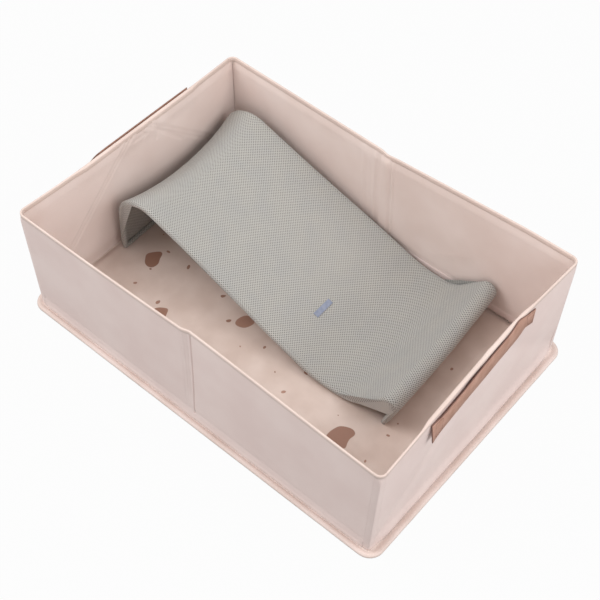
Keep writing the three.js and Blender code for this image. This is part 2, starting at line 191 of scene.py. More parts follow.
def weave(
    name: str,
    along: Sequence[float],
    up: Sequence[float],
    place: Place,
    facing: Optional[Vector] = None,
    ring_along: bool = False,
    ring_up: bool = False,
    capped: bool = False,
) -> bpy.types.Object:
    """Makes a piece from a grid whose points are put in place one by one.

    Args:
        name: the piece's name.
        along: the stations of the grid's first direction.
        up: the stations of its second direction.
        place: gives a point, in millimetres, for a pair of stations.
        facing: the side that an open sheet's faces look to.
        ring_along: whether the first direction closes on itself.
        ring_up: whether the second direction closes on itself.
        capped: whether the open ends of a tube are closed.

    Returns:
        The new object, linked to the scene.
    """
    mesh = bmesh.new()
    uv = mesh.loops.layers.uv.new("cloth")
    columns, rows = len(along) - 1, len(up) - 1
    bmesh.ops.create_grid(mesh, x_segments=columns, y_segments=rows, size=1.0)
    spots = {}
    for vert in mesh.verts:
        i = round((vert.co.x + 1.0) / 2.0 * columns)
        j = round((vert.co.y + 1.0) / 2.0 * rows)
        spots[vert] = (along[i], up[j])
    for face in mesh.faces:
        face.smooth = True
        for loop in face.loops:
            loop[uv].uv = Vector(spots[loop.vert]) * MM
    for vert, (u, v) in spots.items():
        vert.co = place(u, v) * MM
    if ring_along or ring_up:
        bmesh.ops.remove_doubles(mesh, verts=mesh.verts, dist=MERGE)
        if capped:
            rim = [edge for edge in mesh.edges if edge.is_boundary]
            made = bmesh.ops.holes_fill(mesh, edges=rim, sides=0)
            for face in made["faces"]:
                face.smooth = False
        bmesh.ops.recalc_face_normals(mesh, faces=mesh.faces)
    elif facing is not None:
        total = Vector()
        for face in mesh.faces:
            face.normal_update()
            total += face.normal * face.calc_area()
        if total.dot(facing) < 0.0:
            bmesh.ops.reverse_faces(mesh, faces=mesh.faces)
    return link_piece(name, mesh)


def thicken(piece: bpy.types.Object, thickness: float, even: bool = True) -> None:
    """Gives a sheet its thickness, behind its faces.

    Args:
        piece: the sheet.
        thickness: its thickness in millimetres.
        even: keeps the thickness even over sharp bends, for a sheet that doesn't crumple.
    """
    wall = piece.modifiers.new("thickness", "SOLIDIFY")
    wall.thickness = thickness * MM
    wall.offset = -1.0
    wall.use_even_offset = even


def join_parts(name: str, parts: Iterable[bmesh.types.BMesh]) -> bpy.types.Object:
    """Puts several small meshes, already in place, into one piece.

    Args:
        name: the piece's name.
        parts: the meshes, which are freed.

    Returns:
        The new object, linked to the scene.
    """
    whole = bmesh.new()
    for part in parts:
        bmesh.ops.scale(part, vec=Vector((MM, MM, MM)), verts=part.verts)
        for face in part.faces:
            face.smooth = True
        scratch = bpy.data.meshes.new("scratch")
        part.to_mesh(scratch)
        part.free()
        whole.from_mesh(scratch)
        bpy.data.meshes.remove(scratch)
    return link_piece(name, whole)


def stitch(start: Vector, end: Vector, radius: float) -> bmesh.types.BMesh:
    """Makes one stitch of thread, a small rounded rod.

    Args:
        start: where the thread comes up.
        end: where it goes down.
        radius: half the thread's thickness.

    Returns:
        The stitch's mesh, in millimetres.
    """
    mesh = bmesh.new()
    length = (end - start).length
    bmesh.ops.create_cone(
        mesh, cap_ends=True, segments=6, radius1=radius, radius2=radius, depth=length
    )
    tips = [edge for edge in mesh.edges if abs(edge.verts[0].co.z - edge.verts[1].co.z) < TINY]
    bmesh.ops.bevel(
        mesh, geom=tips, offset=radius * 0.6, segments=1, profile=0.5, affect="EDGES", material=-1
    )
    turn = UP.rotation_difference(end - start).to_matrix().to_4x4()
    bmesh.ops.transform(
        mesh, matrix=Matrix.Translation((start + end) / 2.0) @ turn, verts=mesh.verts
    )
    return mesh


def linear(colour: str) -> tuple[float, float, float, float]:
    """Turns an sRGB hex colour such as E9D6D0 to linear red, green, blue and alpha.

    Args:
        colour: six hex digits.

    Returns:
        The four linear values.
    """
    values = [int(colour[i : i + 2], 16) / 255.0 for i in (0, 2, 4)]
    return (*[v / 12.92 if v <= 0.04045 else ((v + 0.055) / 1.055) ** 2.4 for v in values], 1.0)


def add_node(
    tree: bpy.types.NodeTree, kind: str, values: Optional[dict] = None
) -> bpy.types.Node:
    """Adds a shader node with its settings and links.

    Args:
        tree: the material's or world's node tree.
        kind: the node's type, without the words that every shader node's type begins with.
        values: properties by name and, by name or number, each input's value or the output
            socket that feeds it.

    Returns:
        The new node.
    """
    node = tree.nodes.new(f"ShaderNode{kind}")
    for key, value in (values or {}).items():
        if isinstance(value, bpy.types.NodeSocket):
            tree.links.new(value, node.inputs[key])
        elif isinstance(key, str) and hasattr(node, key):
            setattr(node, key, value)
        else:
            node.inputs[key].default_value = value
    return node


def texture(
    tree: bpy.types.NodeTree,
    kind: str,
    size: float,
    values: dict,
    place: Optional[bpy.types.NodeSocket] = None,
) -> bpy.types.Node:
    """Adds a texture whose pattern has a size in millimetres.

    Args:
        tree: the node tree.
        kind: the texture's kind.
        size: the length, in millimetres, that its scale turns into one.
        values: its other settings.
        place: where it is looked up, or None for the piece's own coordinates.

    Returns:
        The texture's node.
    """
    if place is None:
        place = add_node(tree, "TexCoord").outputs["Object"]
    return add_node(tree, f"Tex{kind}", {"Scale": 1.0 / (size * MM), "Vector": place, **values})


def maths(tree: bpy.types.NodeTree, operation: str, *terms: Term) -> bpy.types.NodeSocket:
    """Works out a value from its terms, in order, and returns the socket that gives it."""
    return add_node(tree, "Math", {"operation": operation, **dict(enumerate(terms))}).outputs[0]


def spread(
    tree: bpy.types.NodeTree, value: Term, low: Term, high: Term, easing: str = "LINEAR"
) -> bpy.types.NodeSocket:
    """Turns a value to a share, 0 at low and 1 at high, and returns the socket that gives it."""
    reach = {0: value, 1: low, 2: high, 3: 0.0, 4: 1.0}
    return add_node(tree, "MapRange", {"interpolation_type": easing, **reach}).outputs[0]


def blend(
    tree: bpy.types.NodeTree, share: Term, first: Tone, second: Tone
) -> bpy.types.NodeSocket:
    """Mixes two colours, hex ones or sockets, and returns the socket that gives the mix."""
    low, high = (linear(tone) if isinstance(tone, str) else tone for tone in (first, second))
    return add_node(tree, "Mix", {"data_type": "RGBA", 0: share, 6: low, 7: high}).outputs[2]


@dataclass(frozen=True)
class Finish:
    """What every finish has: a name, its colour and how it takes the light."""

    name: str
    colour: str
    roughness: float

    def material(self) -> bpy.types.Material:
        """Returns the finish's material, made the first time."""
        found = bpy.data.materials.get(self.name)
        if found is None:
            found = bpy.data.materials.new(self.name)
            found.use_nodes = True
            found.node_tree.nodes.clear()
            self.draw(found.node_tree)
        return found

    def draw(self, tree: bpy.types.NodeTree) -> None:
        """Draws the finish's nodes in a tree; each kind of finish has its own way."""
        raise NotImplementedError(f"{self.name} has no way to draw {tree}")

    def shader(
        self,
        tree: bpy.types.NodeTree,
        colour: bpy.types.NodeSocket,
        height: bpy.types.NodeSocket,
        relief: float,
        strength: float,
        extra: dict,
    ) -> None:
        """Ends a node tree with a bump, a shader and the output.

        Args:
            tree: the node tree.
            colour: the socket that gives the surface its colour.
            height: the socket that gives the relief.
            relief: the relief's depth in millimetres.
            strength: how strongly the relief tells.
            extra: more values for the shader's sockets.
        """
        bump = add_node(
            tree, "Bump", {"Strength": strength, "Distance": relief * MM, "Height": height}
        )
        feeds = {"Base Color": colour, "Roughness": self.roughness, "Normal": bump.outputs[0]}
        surface = add_node(tree, "BsdfPrincipled", {**feeds, **extra})
        add_node(tree, "OutputMaterial", {"Surface": surface.outputs[0]})

    def cloudy(
        self, tree: bpy.types.NodeTree, size: float, low: str, high: str, detail: float = 2.0
    ) -> bpy.types.NodeSocket:
        """Lays a cloudy change of colour over the surface.

        Args:
            tree: the node tree.
            size: how far the clouds are apart, in millimetres.
            low: the darker colour.
            high: the lighter colour.
            detail: how much small change the clouds have.

        Returns:
            The socket that gives the colour.
        """
        cloud = texture(tree, "Noise", size, {"Detail": detail, "Roughness": 0.5})
        return blend(tree, spread(tree, cloud.outputs[0], 0.35, 0.65), low, high)


@dataclass(frozen=True)
class CoatedCloth(Finish):
    """Polyester cloth coated with soft vinyl and pressed with a fine grain.

    The coating gives the eye a satin face with a faint pebble grain and soft handling marks.
    """

    shade: str = "E0CCC5"
    grain: float = 1.1
    lay: float = 34.0
    lay_depth: float = 0.35
    grain_depth: float = 0.06
    clouds: float = 85.0

    def draw(self, tree: bpy.types.NodeTree) -> None:
        """Draws cloudy colour, pebble grain and the soft lay of the cloth."""
        colour = self.cloudy(tree, self.clouds, self.shade, self.colour)
        pebble = texture(tree, "Voronoi", self.grain, {"feature": "SMOOTH_F1", "Smoothness": 0.6})
        lay = texture(tree, "Noise", self.lay, {"Detail": 3.0, "Roughness": 0.45})
        grain = maths(tree, "MULTIPLY", pebble.outputs["Distance"], self.grain_depth)
        soft = maths(tree, "MULTIPLY_ADD", lay.outputs[0], self.lay_depth, grain)
        sheen = {"IOR": 1.49, "Sheen Weight": 0.12, "Sheen Roughness": 0.5}
        self.shader(tree, colour, soft, 1.0, 0.55, sheen)


@dataclass(frozen=True)
class ChipPrint(Finish):
    """Coated floor cloth with scattered chips of colour printed on it.

    The chips are of a common terrazzo kind, in a layout of their own. Each layer gives how far
    its chips are apart, their least and greatest reach and the share of places that hold one.
    """

    shade: str = "CFBBB0"
    chips: tuple[str, str] = ("96705F", "AD8776")
    layers: tuple[tuple[float, float, float, float], ...] = (
        (105.0, 0.07, 0.17, 0.5),
        (46.0, 0.03, 0.1, 0.4),
    )
    edge: float = 0.008
    warp: float = 34.0
    bend: tuple[float, float, float] = (0.022, 0.03, 0.0)
    grain: float = 1.4
    clouds: float = 60.0

    def draw(self, tree: bpy.types.NodeTree) -> None:
        """Draws the ground colour, two sizes of chip and a fine grain."""
        ground = self.cloudy(tree, self.clouds, self.shade, self.colour, 3.0)
        spot = add_node(tree, "TexCoord").outputs["Object"]
        warp = texture(tree, "Noise", self.warp, {"Detail": 0.0}, spot).outputs["Color"]
        bend = add_node(
            tree, "VectorMath", {"operation": "MULTIPLY_ADD", 0: warp, 1: self.bend, 2: spot}
        )
        flat = {"voronoi_dimensions": "2D", "Randomness": 0.9}
        for size, least, most, share in self.layers:
            cells = texture(tree, "Voronoi", size, flat, bend.outputs[0])
            dice = add_node(tree, "SeparateColor", {0: cells.outputs["Color"]}).outputs
            kept = maths(tree, "LESS_THAN", dice[0], share)
            reach = maths(tree, "MULTIPLY_ADD", dice[1], most - least, least)
            edge = maths(tree, "MULTIPLY", reach, kept)
            core = maths(tree, "SUBTRACT", edge, self.edge)
            inside = spread(tree, cells.outputs["Distance"], edge, core)
            ground = blend(tree, inside, ground, blend(tree, dice[2], *self.chips))
        grain = texture(tree, "Noise", self.grain, {"Detail": 2.0})
        self.shader(tree, ground, grain.outputs[0], 0.12, 0.4, {"IOR": 1.49})


@dataclass(frozen=True)
class SpacerMesh(Finish):
    """Knitted spacer mesh, polyester, with staggered open cells.

    The cells give the eye an even dotted net, with painted shade in each opening. They are drawn
    3.4 mm apart, a little coarser than in such a mesh, so that they show in the render.
    """

    shade: str = "AAA9A5"
    painted_opening_shade: str = "605E5B"
    pitch: float = 3.4
    clouds: float = 40.0

    def draw(self, tree: bpy.types.NodeTree) -> None:
        """Draws the staggered cells from the sheet's own map, with their relief and painted shade
        in each opening.
        """
        spot = add_node(tree, "UVMap", {"uv_map": "cloth"})
        axes = add_node(tree, "SeparateXYZ", {0: spot.outputs[0]}).outputs
        turn = 2.0 * math.pi / (self.pitch * math.sqrt(2.0) * MM)
        ripples = [maths(tree, "COSINE", maths(tree, "MULTIPLY", axis, turn)) for axis in axes[:2]]
        cell = maths(tree, "MULTIPLY", *ripples)
        opening = spread(tree, cell, 0.05, 0.6, "SMOOTHSTEP")
        yarn = self.cloudy(tree, self.clouds, self.shade, self.colour)
        # Painted shade: each opening is darkened towards a deep grey, as if seen down into the
        # mesh.
        colour = blend(tree, opening, yarn, self.painted_opening_shade)
        height = maths(tree, "SUBTRACT", 1.0, opening)
        sheen = {"Sheen Weight": 0.2, "Sheen Roughness": 0.6}
        self.shader(tree, colour, height, 0.5, 0.6, sheen)


@dataclass(frozen=True)
class StrapLeather(Finish):
    """Polyurethane artificial leather, embossed, with painted edges.

    It gives the eye a matt brown face with a small grain and slightly worn high spots.
    """

    worn: str = "B98F7E"
    grain: float = 1.6
    clouds: float = 14.0

    def draw(self, tree: bpy.types.NodeTree) -> None:
        """Draws the leather's grain, its tone and its worn high spots."""
        tone = self.cloudy(tree, self.clouds, self.colour, self.worn, 4.0)
        grain = texture(tree, "Voronoi", self.grain, {"feature": "DISTANCE_TO_EDGE"})
        fold = spread(tree, grain.outputs["Distance"], 0.0, 0.25)
        self.shader(tree, tone, fold, 0.25, 0.5, {"IOR": 1.48})


@dataclass(frozen=True)
class DrawnWire(Finish):
    """Stainless steel wire, drawn through a die and bent.

    Drawing leaves fine lines along it, so that its shine runs in a soft streak.
    """

    shade: str = "A9A9A7"
    scratch: float = 1.2
    clouds: float = 18.0

    def draw(self, tree: bpy.types.NodeTree) -> None:
        """Draws the steel's cloudy tone and its fine drawing lines."""
        tone = self.cloudy(tree, self.clouds, self.shade, self.colour)
        lines = texture(tree, "Noise", self.scratch, {"Detail": 3.0})
        self.shader(tree, tone, lines.outputs[0], 0.05, 0.3, {"Metallic": 1.0})


@dataclass(frozen=True)
class ExtrudedBoard(Finish):
    """Polypropylene board, extruded, with faint flow lines across it.

    It stays hidden between the cloths.
    """

    shade: str = "B9B8B3"
    flow: float = 12.0
    clouds: float = 50.0

    def draw(self, tree: bpy.types.NodeTree) -> None:
        """Draws the board's tone and its flow lines."""
        tone = self.cloudy(tree, self.clouds, self.shade, self.colour)
        flow = texture(tree, "Wave", self.flow, {"Distortion": 1.5, "Detail": 2.0})
        self.shader(tree, tone, flow.outputs[1], 0.1, 0.3, {"IOR": 1.49})


@dataclass(frozen=True)
class Yarn(Finish):
    """Spun or woven yarn, in foam interlining, thread and tape.

    It gives the eye a soft matt face with fine ribs, which repeat at about 0.32 of the length
    that the wave's scale stands for.
    """

    shade: str = "808080"
    rib: float = 1.0
    depth: float = 0.3
    clouds: float = 6.0
    rib_share: float = 0.32

    def draw(self, tree: bpy.types.NodeTree) -> None:
        """Draws the yarn's tone and its ribs."""
        tone = self.cloudy(tree, self.clouds, self.shade, self.colour)
        ribs = texture(tree, "Wave", self.rib / self.rib_share, {"Distortion": 0.4})
        self.shader(tree, tone, ribs.outputs[1], self.depth, 0.6, {"Sheen Weight": 0.2})


OUTER_CLOTH = CoatedCloth("coated_cloth_outer", "E9D6D0", 0.5, "E4CFC9", lay_depth=0.2)
INNER_CLOTH = CoatedCloth("coated_cloth_inner", "E6D5CE", 0.46, "E0CDC5", lay_depth=0.2)
# The welded rim is coloured darker than the outer cloth it is welded from: painted shade that tones
# down the light on its top edge.
WELDED_EDGE_PAINTED_SHADE = CoatedCloth("welded_cloth_edge", "DCC8BE", 0.5, "D4BFB5", 0.9, 22.0, 0.2)
# The hem is coloured darker than the wall cloth: painted shade that tones down the light on its
# flat top face.
HEM_CLOTH_PAINTED_SHADE = CoatedCloth("sewn_hem_cloth", "DCCAC3", 0.55, "D2BEB5", 1.0, 18.0, 0.5)
FLOOR_PRINT = ChipPrint("printed_floor_cloth", "DBC9BF", 0.4)
SEAT_MESH = SpacerMesh("knitted_spacer_mesh", "AEACA6", 0.75)
STRAP = StrapLeather("artificial_leather_strap", "AC8270", 0.55, "BB9281")
STRAP_EDGE = StrapLeather("painted_strap_edge", "6E4C40", 0.5, "7A574A")
STEEL = DrawnWire("drawn_stainless_wire", "C4C4C2", 0.32)
BOARD = ExtrudedBoard("extruded_polypropylene_board", "C6C5C0", 0.5)
FOAM = Yarn("closed_foam_interlining", "E2DED6", 0.9, "D6D1C7", 3.0, 0.2)
THREAD = Yarn("spun_polyester_thread", "8A6254", 0.7, "7A5548", 0.5, 0.2)
TAPE = Yarn("woven_tape", "8C93A6", 0.7, "7E869A", 1.2, 0.3)


def settle(
    piece: bpy.types.Object,
    finish: Finish,
    body: str,
    nodes: Sequence[str] = (),
    squashed: bool = False,
) -> bpy.types.Object:
    """Gives a finished piece its material, its body and the nodes it stands for.

    Args:
        piece: the piece, in place.
        finish: its finish.
        body: the body that it moves with.
        nodes: the CAD nodes that it replaces.
        squashed: whether it gets a mesh of its own.

    Returns:
        The same piece.
    """
    if not piece.data.materials:
        piece.data.materials.append(finish.material())
    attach(piece, body)
    if nodes:
        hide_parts(*nodes)
    if squashed:
        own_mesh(piece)
    LOG.info("%s: %s on %s", piece.name, finish.name, body)
    return piece


@dataclass(frozen=True)
class TubSizes:
    """The tub's main sizes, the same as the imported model's."""

    half_length: float = 380.0
    half_width: float = 263.5
    height: float = 250.0
    wall: float = 6.0
    skin: float = 1.2
    fold_height: float = 25.0
    cloth_top: float = 248.6
    cloth_foot: float = 7.3
    hem_gap: float = 0.05
    corner_round: float = 13.0
    rim_width: float = 3.3
    taper_from: float = 222.0
    taper_to: float = 247.0
    liner_at_rim: float = 3.3
    skin_under_rim: float = 0.55

    @property
    def straight_x(self) -> float:
        """Returns where the long walls' straight part ends."""
        return self.half_length - self.corner_round

    @property
    def straight_y(self) -> float:
        """Returns where the end walls' straight part ends."""
        return self.half_width - self.corner_round

    @property
    def foot(self) -> float:
        """Returns the height at which the cloths start above the hem."""
        return self.cloth_foot + self.hem_gap

    def inner_depth(self, z: float) -> float:
        """Returns how deep the inner cloth's face lies at a height."""
        return mix(self.wall, self.liner_at_rim, smooth(self.taper_from, self.taper_to, z))

    def outer_depth(self, z: float) -> float:
        """Returns how far the outer cloth's face is drawn in under the rim."""
        return self.skin_under_rim * smooth(242.0, 244.5, z)


SIZES = TubSizes()


@dataclass(frozen=True)
class EndForm:
    """How an end wall leans at its rim, outward from its straight place."""

    end: End
    low: float
    front_rise: float
    front_from: float
    front_power: float
    back_rise: float
    back_from: float
    bulge: float = 4.5
    bulge_height: float = 14.0
    bulge_spread: float = 15.0
    softness: float = 0.9
    gusset: float = 2.2
    gusset_middle: float = 6.0
    gusset_peak: float = 1.06
    fold_lines: float = 0.9
    marks: tuple[Crease, ...] = ()

    def lean(self, y: float) -> float:
        """Returns the rim's outward lean at a place along the end."""
        half = SIZES.half_width
        front = max(0.0, (self.front_from - y) / (half + self.front_from))
        back = max(0.0, (y - self.back_from) / (half - self.back_from))
        return self.low + self.front_rise * front**self.front_power + self.back_rise * back**1.5

    def outward(self, y: float, z: float) -> float:
        """Returns how far the wall stands out at a place, creases left out.

        Args:
            y: place along the end.
            z: height.

        Returns:
            Millimetres outward from the straight wall.
        """
        share = max(0.0, (z - SIZES.cloth_foot) / (SIZES.height - SIZES.cloth_foot))
        round_off = 1.0 - smooth(215.0, 256.0, abs(y))
        foot = self.bulge * bell(z - self.bulge_height, self.bulge_spread) * round_off
        wave = waves(y, z, 70.0, 3.1 * self.end.value)
        soft = self.softness * wave * round_off * smooth(250.0, 225.0, z)
        return self.lean(y) * share**1.15 + foot + soft

    def gusset_at(self, y: float, z: float, inside: bool) -> float:
        """Returns how far the pressed gusset folds draw the cloth in.

        Args:
            y: place along the end.
            z: height.
            inside: whether the inner cloth is asked for, whose folds are sharper.

        Returns:
            Millimetres towards the inside of the tub.
        """
        side = abs(y - self.gusset_middle) / SIZES.half_width
        across = side + z / SIZES.height - self.gusset_peak
        fade = smooth(0.0, 40.0, z) * smooth(250.0, 236.0, z)
        broad = self.gusset * bell(across, 0.1) * fade
        if not inside:
            return 0.8 * broad
        pair = bell(across + 0.02, 0.0075) + bell(across - 0.02, 0.0075)
        folds = sum(mark.at(y, z) for mark in self.marks)
        return 0.55 * broad - (self.fold_lines * pair + folds) * fade


@dataclass(frozen=True)
class WallForm:
    """How a long wall's two panels lean at the rim, outward from their straight place."""

    side: Side
    left_corner: float
    left_fall: float
    left_power: float
    right_corner: float
    right_fall: float
    right_power: float
    right_end: float
    peak: float
    peak_reach: float
    crease_x: float
    softness: float = 0.35

    def lean(self, x: float) -> float:
        """Returns the rim's outward lean at a place along the wall."""
        far = SIZES.half_length
        left = self.left_corner - self.left_fall * (1.0 - min(1.0, abs(x) / far)) ** self.left_power
        share = max(0.0, 1.0 - abs(x) / self.right_end)
        right = self.right_corner * smooth(0.0, far, x) - self.right_fall * share**self.right_power
        side = smooth(self.crease_x - 18.0, self.crease_x + 1.0, x)
        peak = self.peak * bell(x - self.crease_x, self.peak_reach)
        return mix(left, right, side) - peak

    def outward(self, x: float, z: float) -> float:
        """Returns how far the wall stands out at a place, creases left out.

        Args:
            x: place along the wall.
            z: height.

        Returns:
            Millimetres outward from the straight wall.
        """
        hinge = SIZES.fold_height
        share = max(0.0, (z - hinge) / (SIZES.height - hinge))
        fade = smooth(250.0, 225.0, z) * smooth(25.0, 45.0, z) * smooth(372.0, 340.0, abs(x))
        soft = self.softness * waves(x, z, 90.0, 7.3 * self.side.value) * fade
        return self.lean(x) * share + soft


FRONT_FORM = WallForm(
    Side.FRONT,
    left_corner=2.3,
    left_fall=5.0,
    left_power=2.2,
    right_corner=3.4,
    right_fall=6.9,
    right_power=1.0,
    right_end=380.0,
    peak=0.0,
    peak_reach=30.0,
    crease_x=4.0,
)
BACK_FORM = WallForm(
    Side.BACK,
    left_corner=-2.7,
    left_fall=9.6,
    left_power=1.0,
    right_corner=1.6,
    right_fall=14.4,
    right_power=1.12,
    right_end=292.0,
    peak=1.2,
    peak_reach=14.0,
    crease_x=0.0,
)
RIGHT_FORM = EndForm(
    End.RIGHT,
    low=-3.0,
    front_rise=12.5,
    front_from=79.0,
    front_power=1.15,
    back_rise=6.0,
    back_from=79.0,
)
LEFT_FORM = EndForm(
    End.LEFT,
    low=-2.6,
    front_rise=7.0,
    front_from=-120.0,
    front_power=1.5,
    back_rise=2.6,
    back_from=120.0,
    bulge=3.0,
    fold_lines=2.2,
    marks=(
        Crease((52.0, 242.0), (47.0, 196.0), 1.7, 2.6),
        Crease((60.0, 204.0), (110.0, 150.0), 1.5, 2.6),
        Crease((13.0, 244.0), (19.0, 222.0), 1.5, 2.2),
        Crease((-7.0, 229.0), (25.0, 227.0), 1.5, 2.6),
    ),
)
WALLS = {Side.FRONT: FRONT_FORM, Side.BACK: BACK_FORM}
ENDS = {End.LEFT: LEFT_FORM, End.RIGHT: RIGHT_FORM}

# Each strap from front to back: place, stand-off and height of its top edge, then of its foot
RIGHT_STRAP = (
    (-142.8, 0.2, 241.0, -145.0, 8.2, 202.0),
    (-135.0, 0.9, 240.5, -137.0, 6.9, 202.0),
    (-119.0, 2.7, 240.0, -120.0, 5.5, 202.0),
    (-93.0, 2.8, 240.0, -94.0, 4.7, 202.0),
    (-52.0, 2.4, 240.0, -52.0, 3.9, 202.0),
    (-13.5, 1.1, 240.0, -13.5, 3.4, 202.0),
    (19.0, 0.4, 240.0, 19.0, 2.9, 202.0),
    (60.0, 0.3, 240.5, 60.0, 2.0, 202.0),
    (81.0, -0.6, 243.0, 88.0, 0.9, 202.5),
    (94.5, -2.0, 250.0, 106.0, 0.3, 207.0),
    (104.0, -1.8, 248.0, 114.0, 0.2, 214.0),
    (113.0, -1.2, 245.5, 122.5, 0.2, 211.5),
    (126.0, -0.4, 242.5, 131.0, 0.2, 207.0),
    (140.5, 0.2, 240.0, 140.0, 0.2, 203.5),
)
LEFT_STRAP = (
    (-140.5, 0.2, 240.0, -140.0, 0.2, 203.5),
    (-126.0, 0.2, 241.0, -131.0, 0.2, 207.0),
    (-113.0, 0.4, 243.0, -122.5, 0.2, 211.5),
    (-104.0, 1.0, 244.5, -114.0, 0.4, 212.0),
    (-94.0, 3.4, 245.0, -106.0, 0.8, 207.0),
    (-84.0, 5.6, 245.0, -92.0, 3.0, 203.0),
    (-60.0, 6.2, 245.0, -62.0, 4.6, 202.0),
    (92.0, 6.2, 245.0, 92.0, 6.6, 202.0),
    (134.0, 6.0, 245.0, 134.0, 8.0, 202.0),
    (143.5, 5.8, 245.0, 143.5, 8.6, 202.0),
)


def wall_spot(form: WallForm, x: float, depth: float, z: float) -> Vector:
    """Gives a point of a long wall.

    Args:
        form: the wall's form.
        x: place along the wall.
        depth: how deep the point lies behind the wall's outer face.
        z: height.

    Returns:
        The point, in millimetres.
    """
    end = ENDS[End.RIGHT if x > 0 else End.LEFT]
    reach = smooth(230.0, SIZES.straight_x, abs(x))
    corner = end.outward(form.side.value * SIZES.straight_y, z) * reach
    y = SIZES.half_width - depth + form.outward(x, z)
    return Vector((x + end.end.value * corner, form.side.value * y, z))


def end_spot(form: EndForm, y: float, depth: float, z: float) -> Vector:
    """Gives a point of an end wall, creases left out.

    Args:
        form: the end's form.
        y: place along the end.
        depth: how deep the point lies behind the wall's outer face.
        z: height.

    Returns:
        The point, in millimetres.
    """
    wall = WALLS[Side.BACK if y > 0 else Side.FRONT]
    reach = smooth(150.0, SIZES.straight_y, abs(y))
    corner = wall.outward(form.end.value * SIZES.straight_x, z) * reach
    x = SIZES.half_length - depth + form.outward(y, z)
    return Vector((form.end.value * x, y + wall.side.value * corner, z))


def rim_section(width: float) -> list[tuple[float, float]]:
    """Gives the section of a welded rim as depth and height, once round.

    Args:
        width: the rim's width at its top.

    Returns:
        The section's points.
    """
    w = width
    return [
        (-0.05, 242.2),
        (-0.3, 244.5),
        (-0.3, 247.6),
        (0.0, 249.0),
        (0.28 * w, 249.8),
        (0.5 * w, 250.0),
        (0.75 * w, 249.8),
        (w, 249.0),
        (w + 0.3, 247.6),
        (w + 0.45, 245.0),
        (w + 0.75, 241.0),
        (w + 0.1, 240.4),
        (0.5 * w, 241.2),
    ]


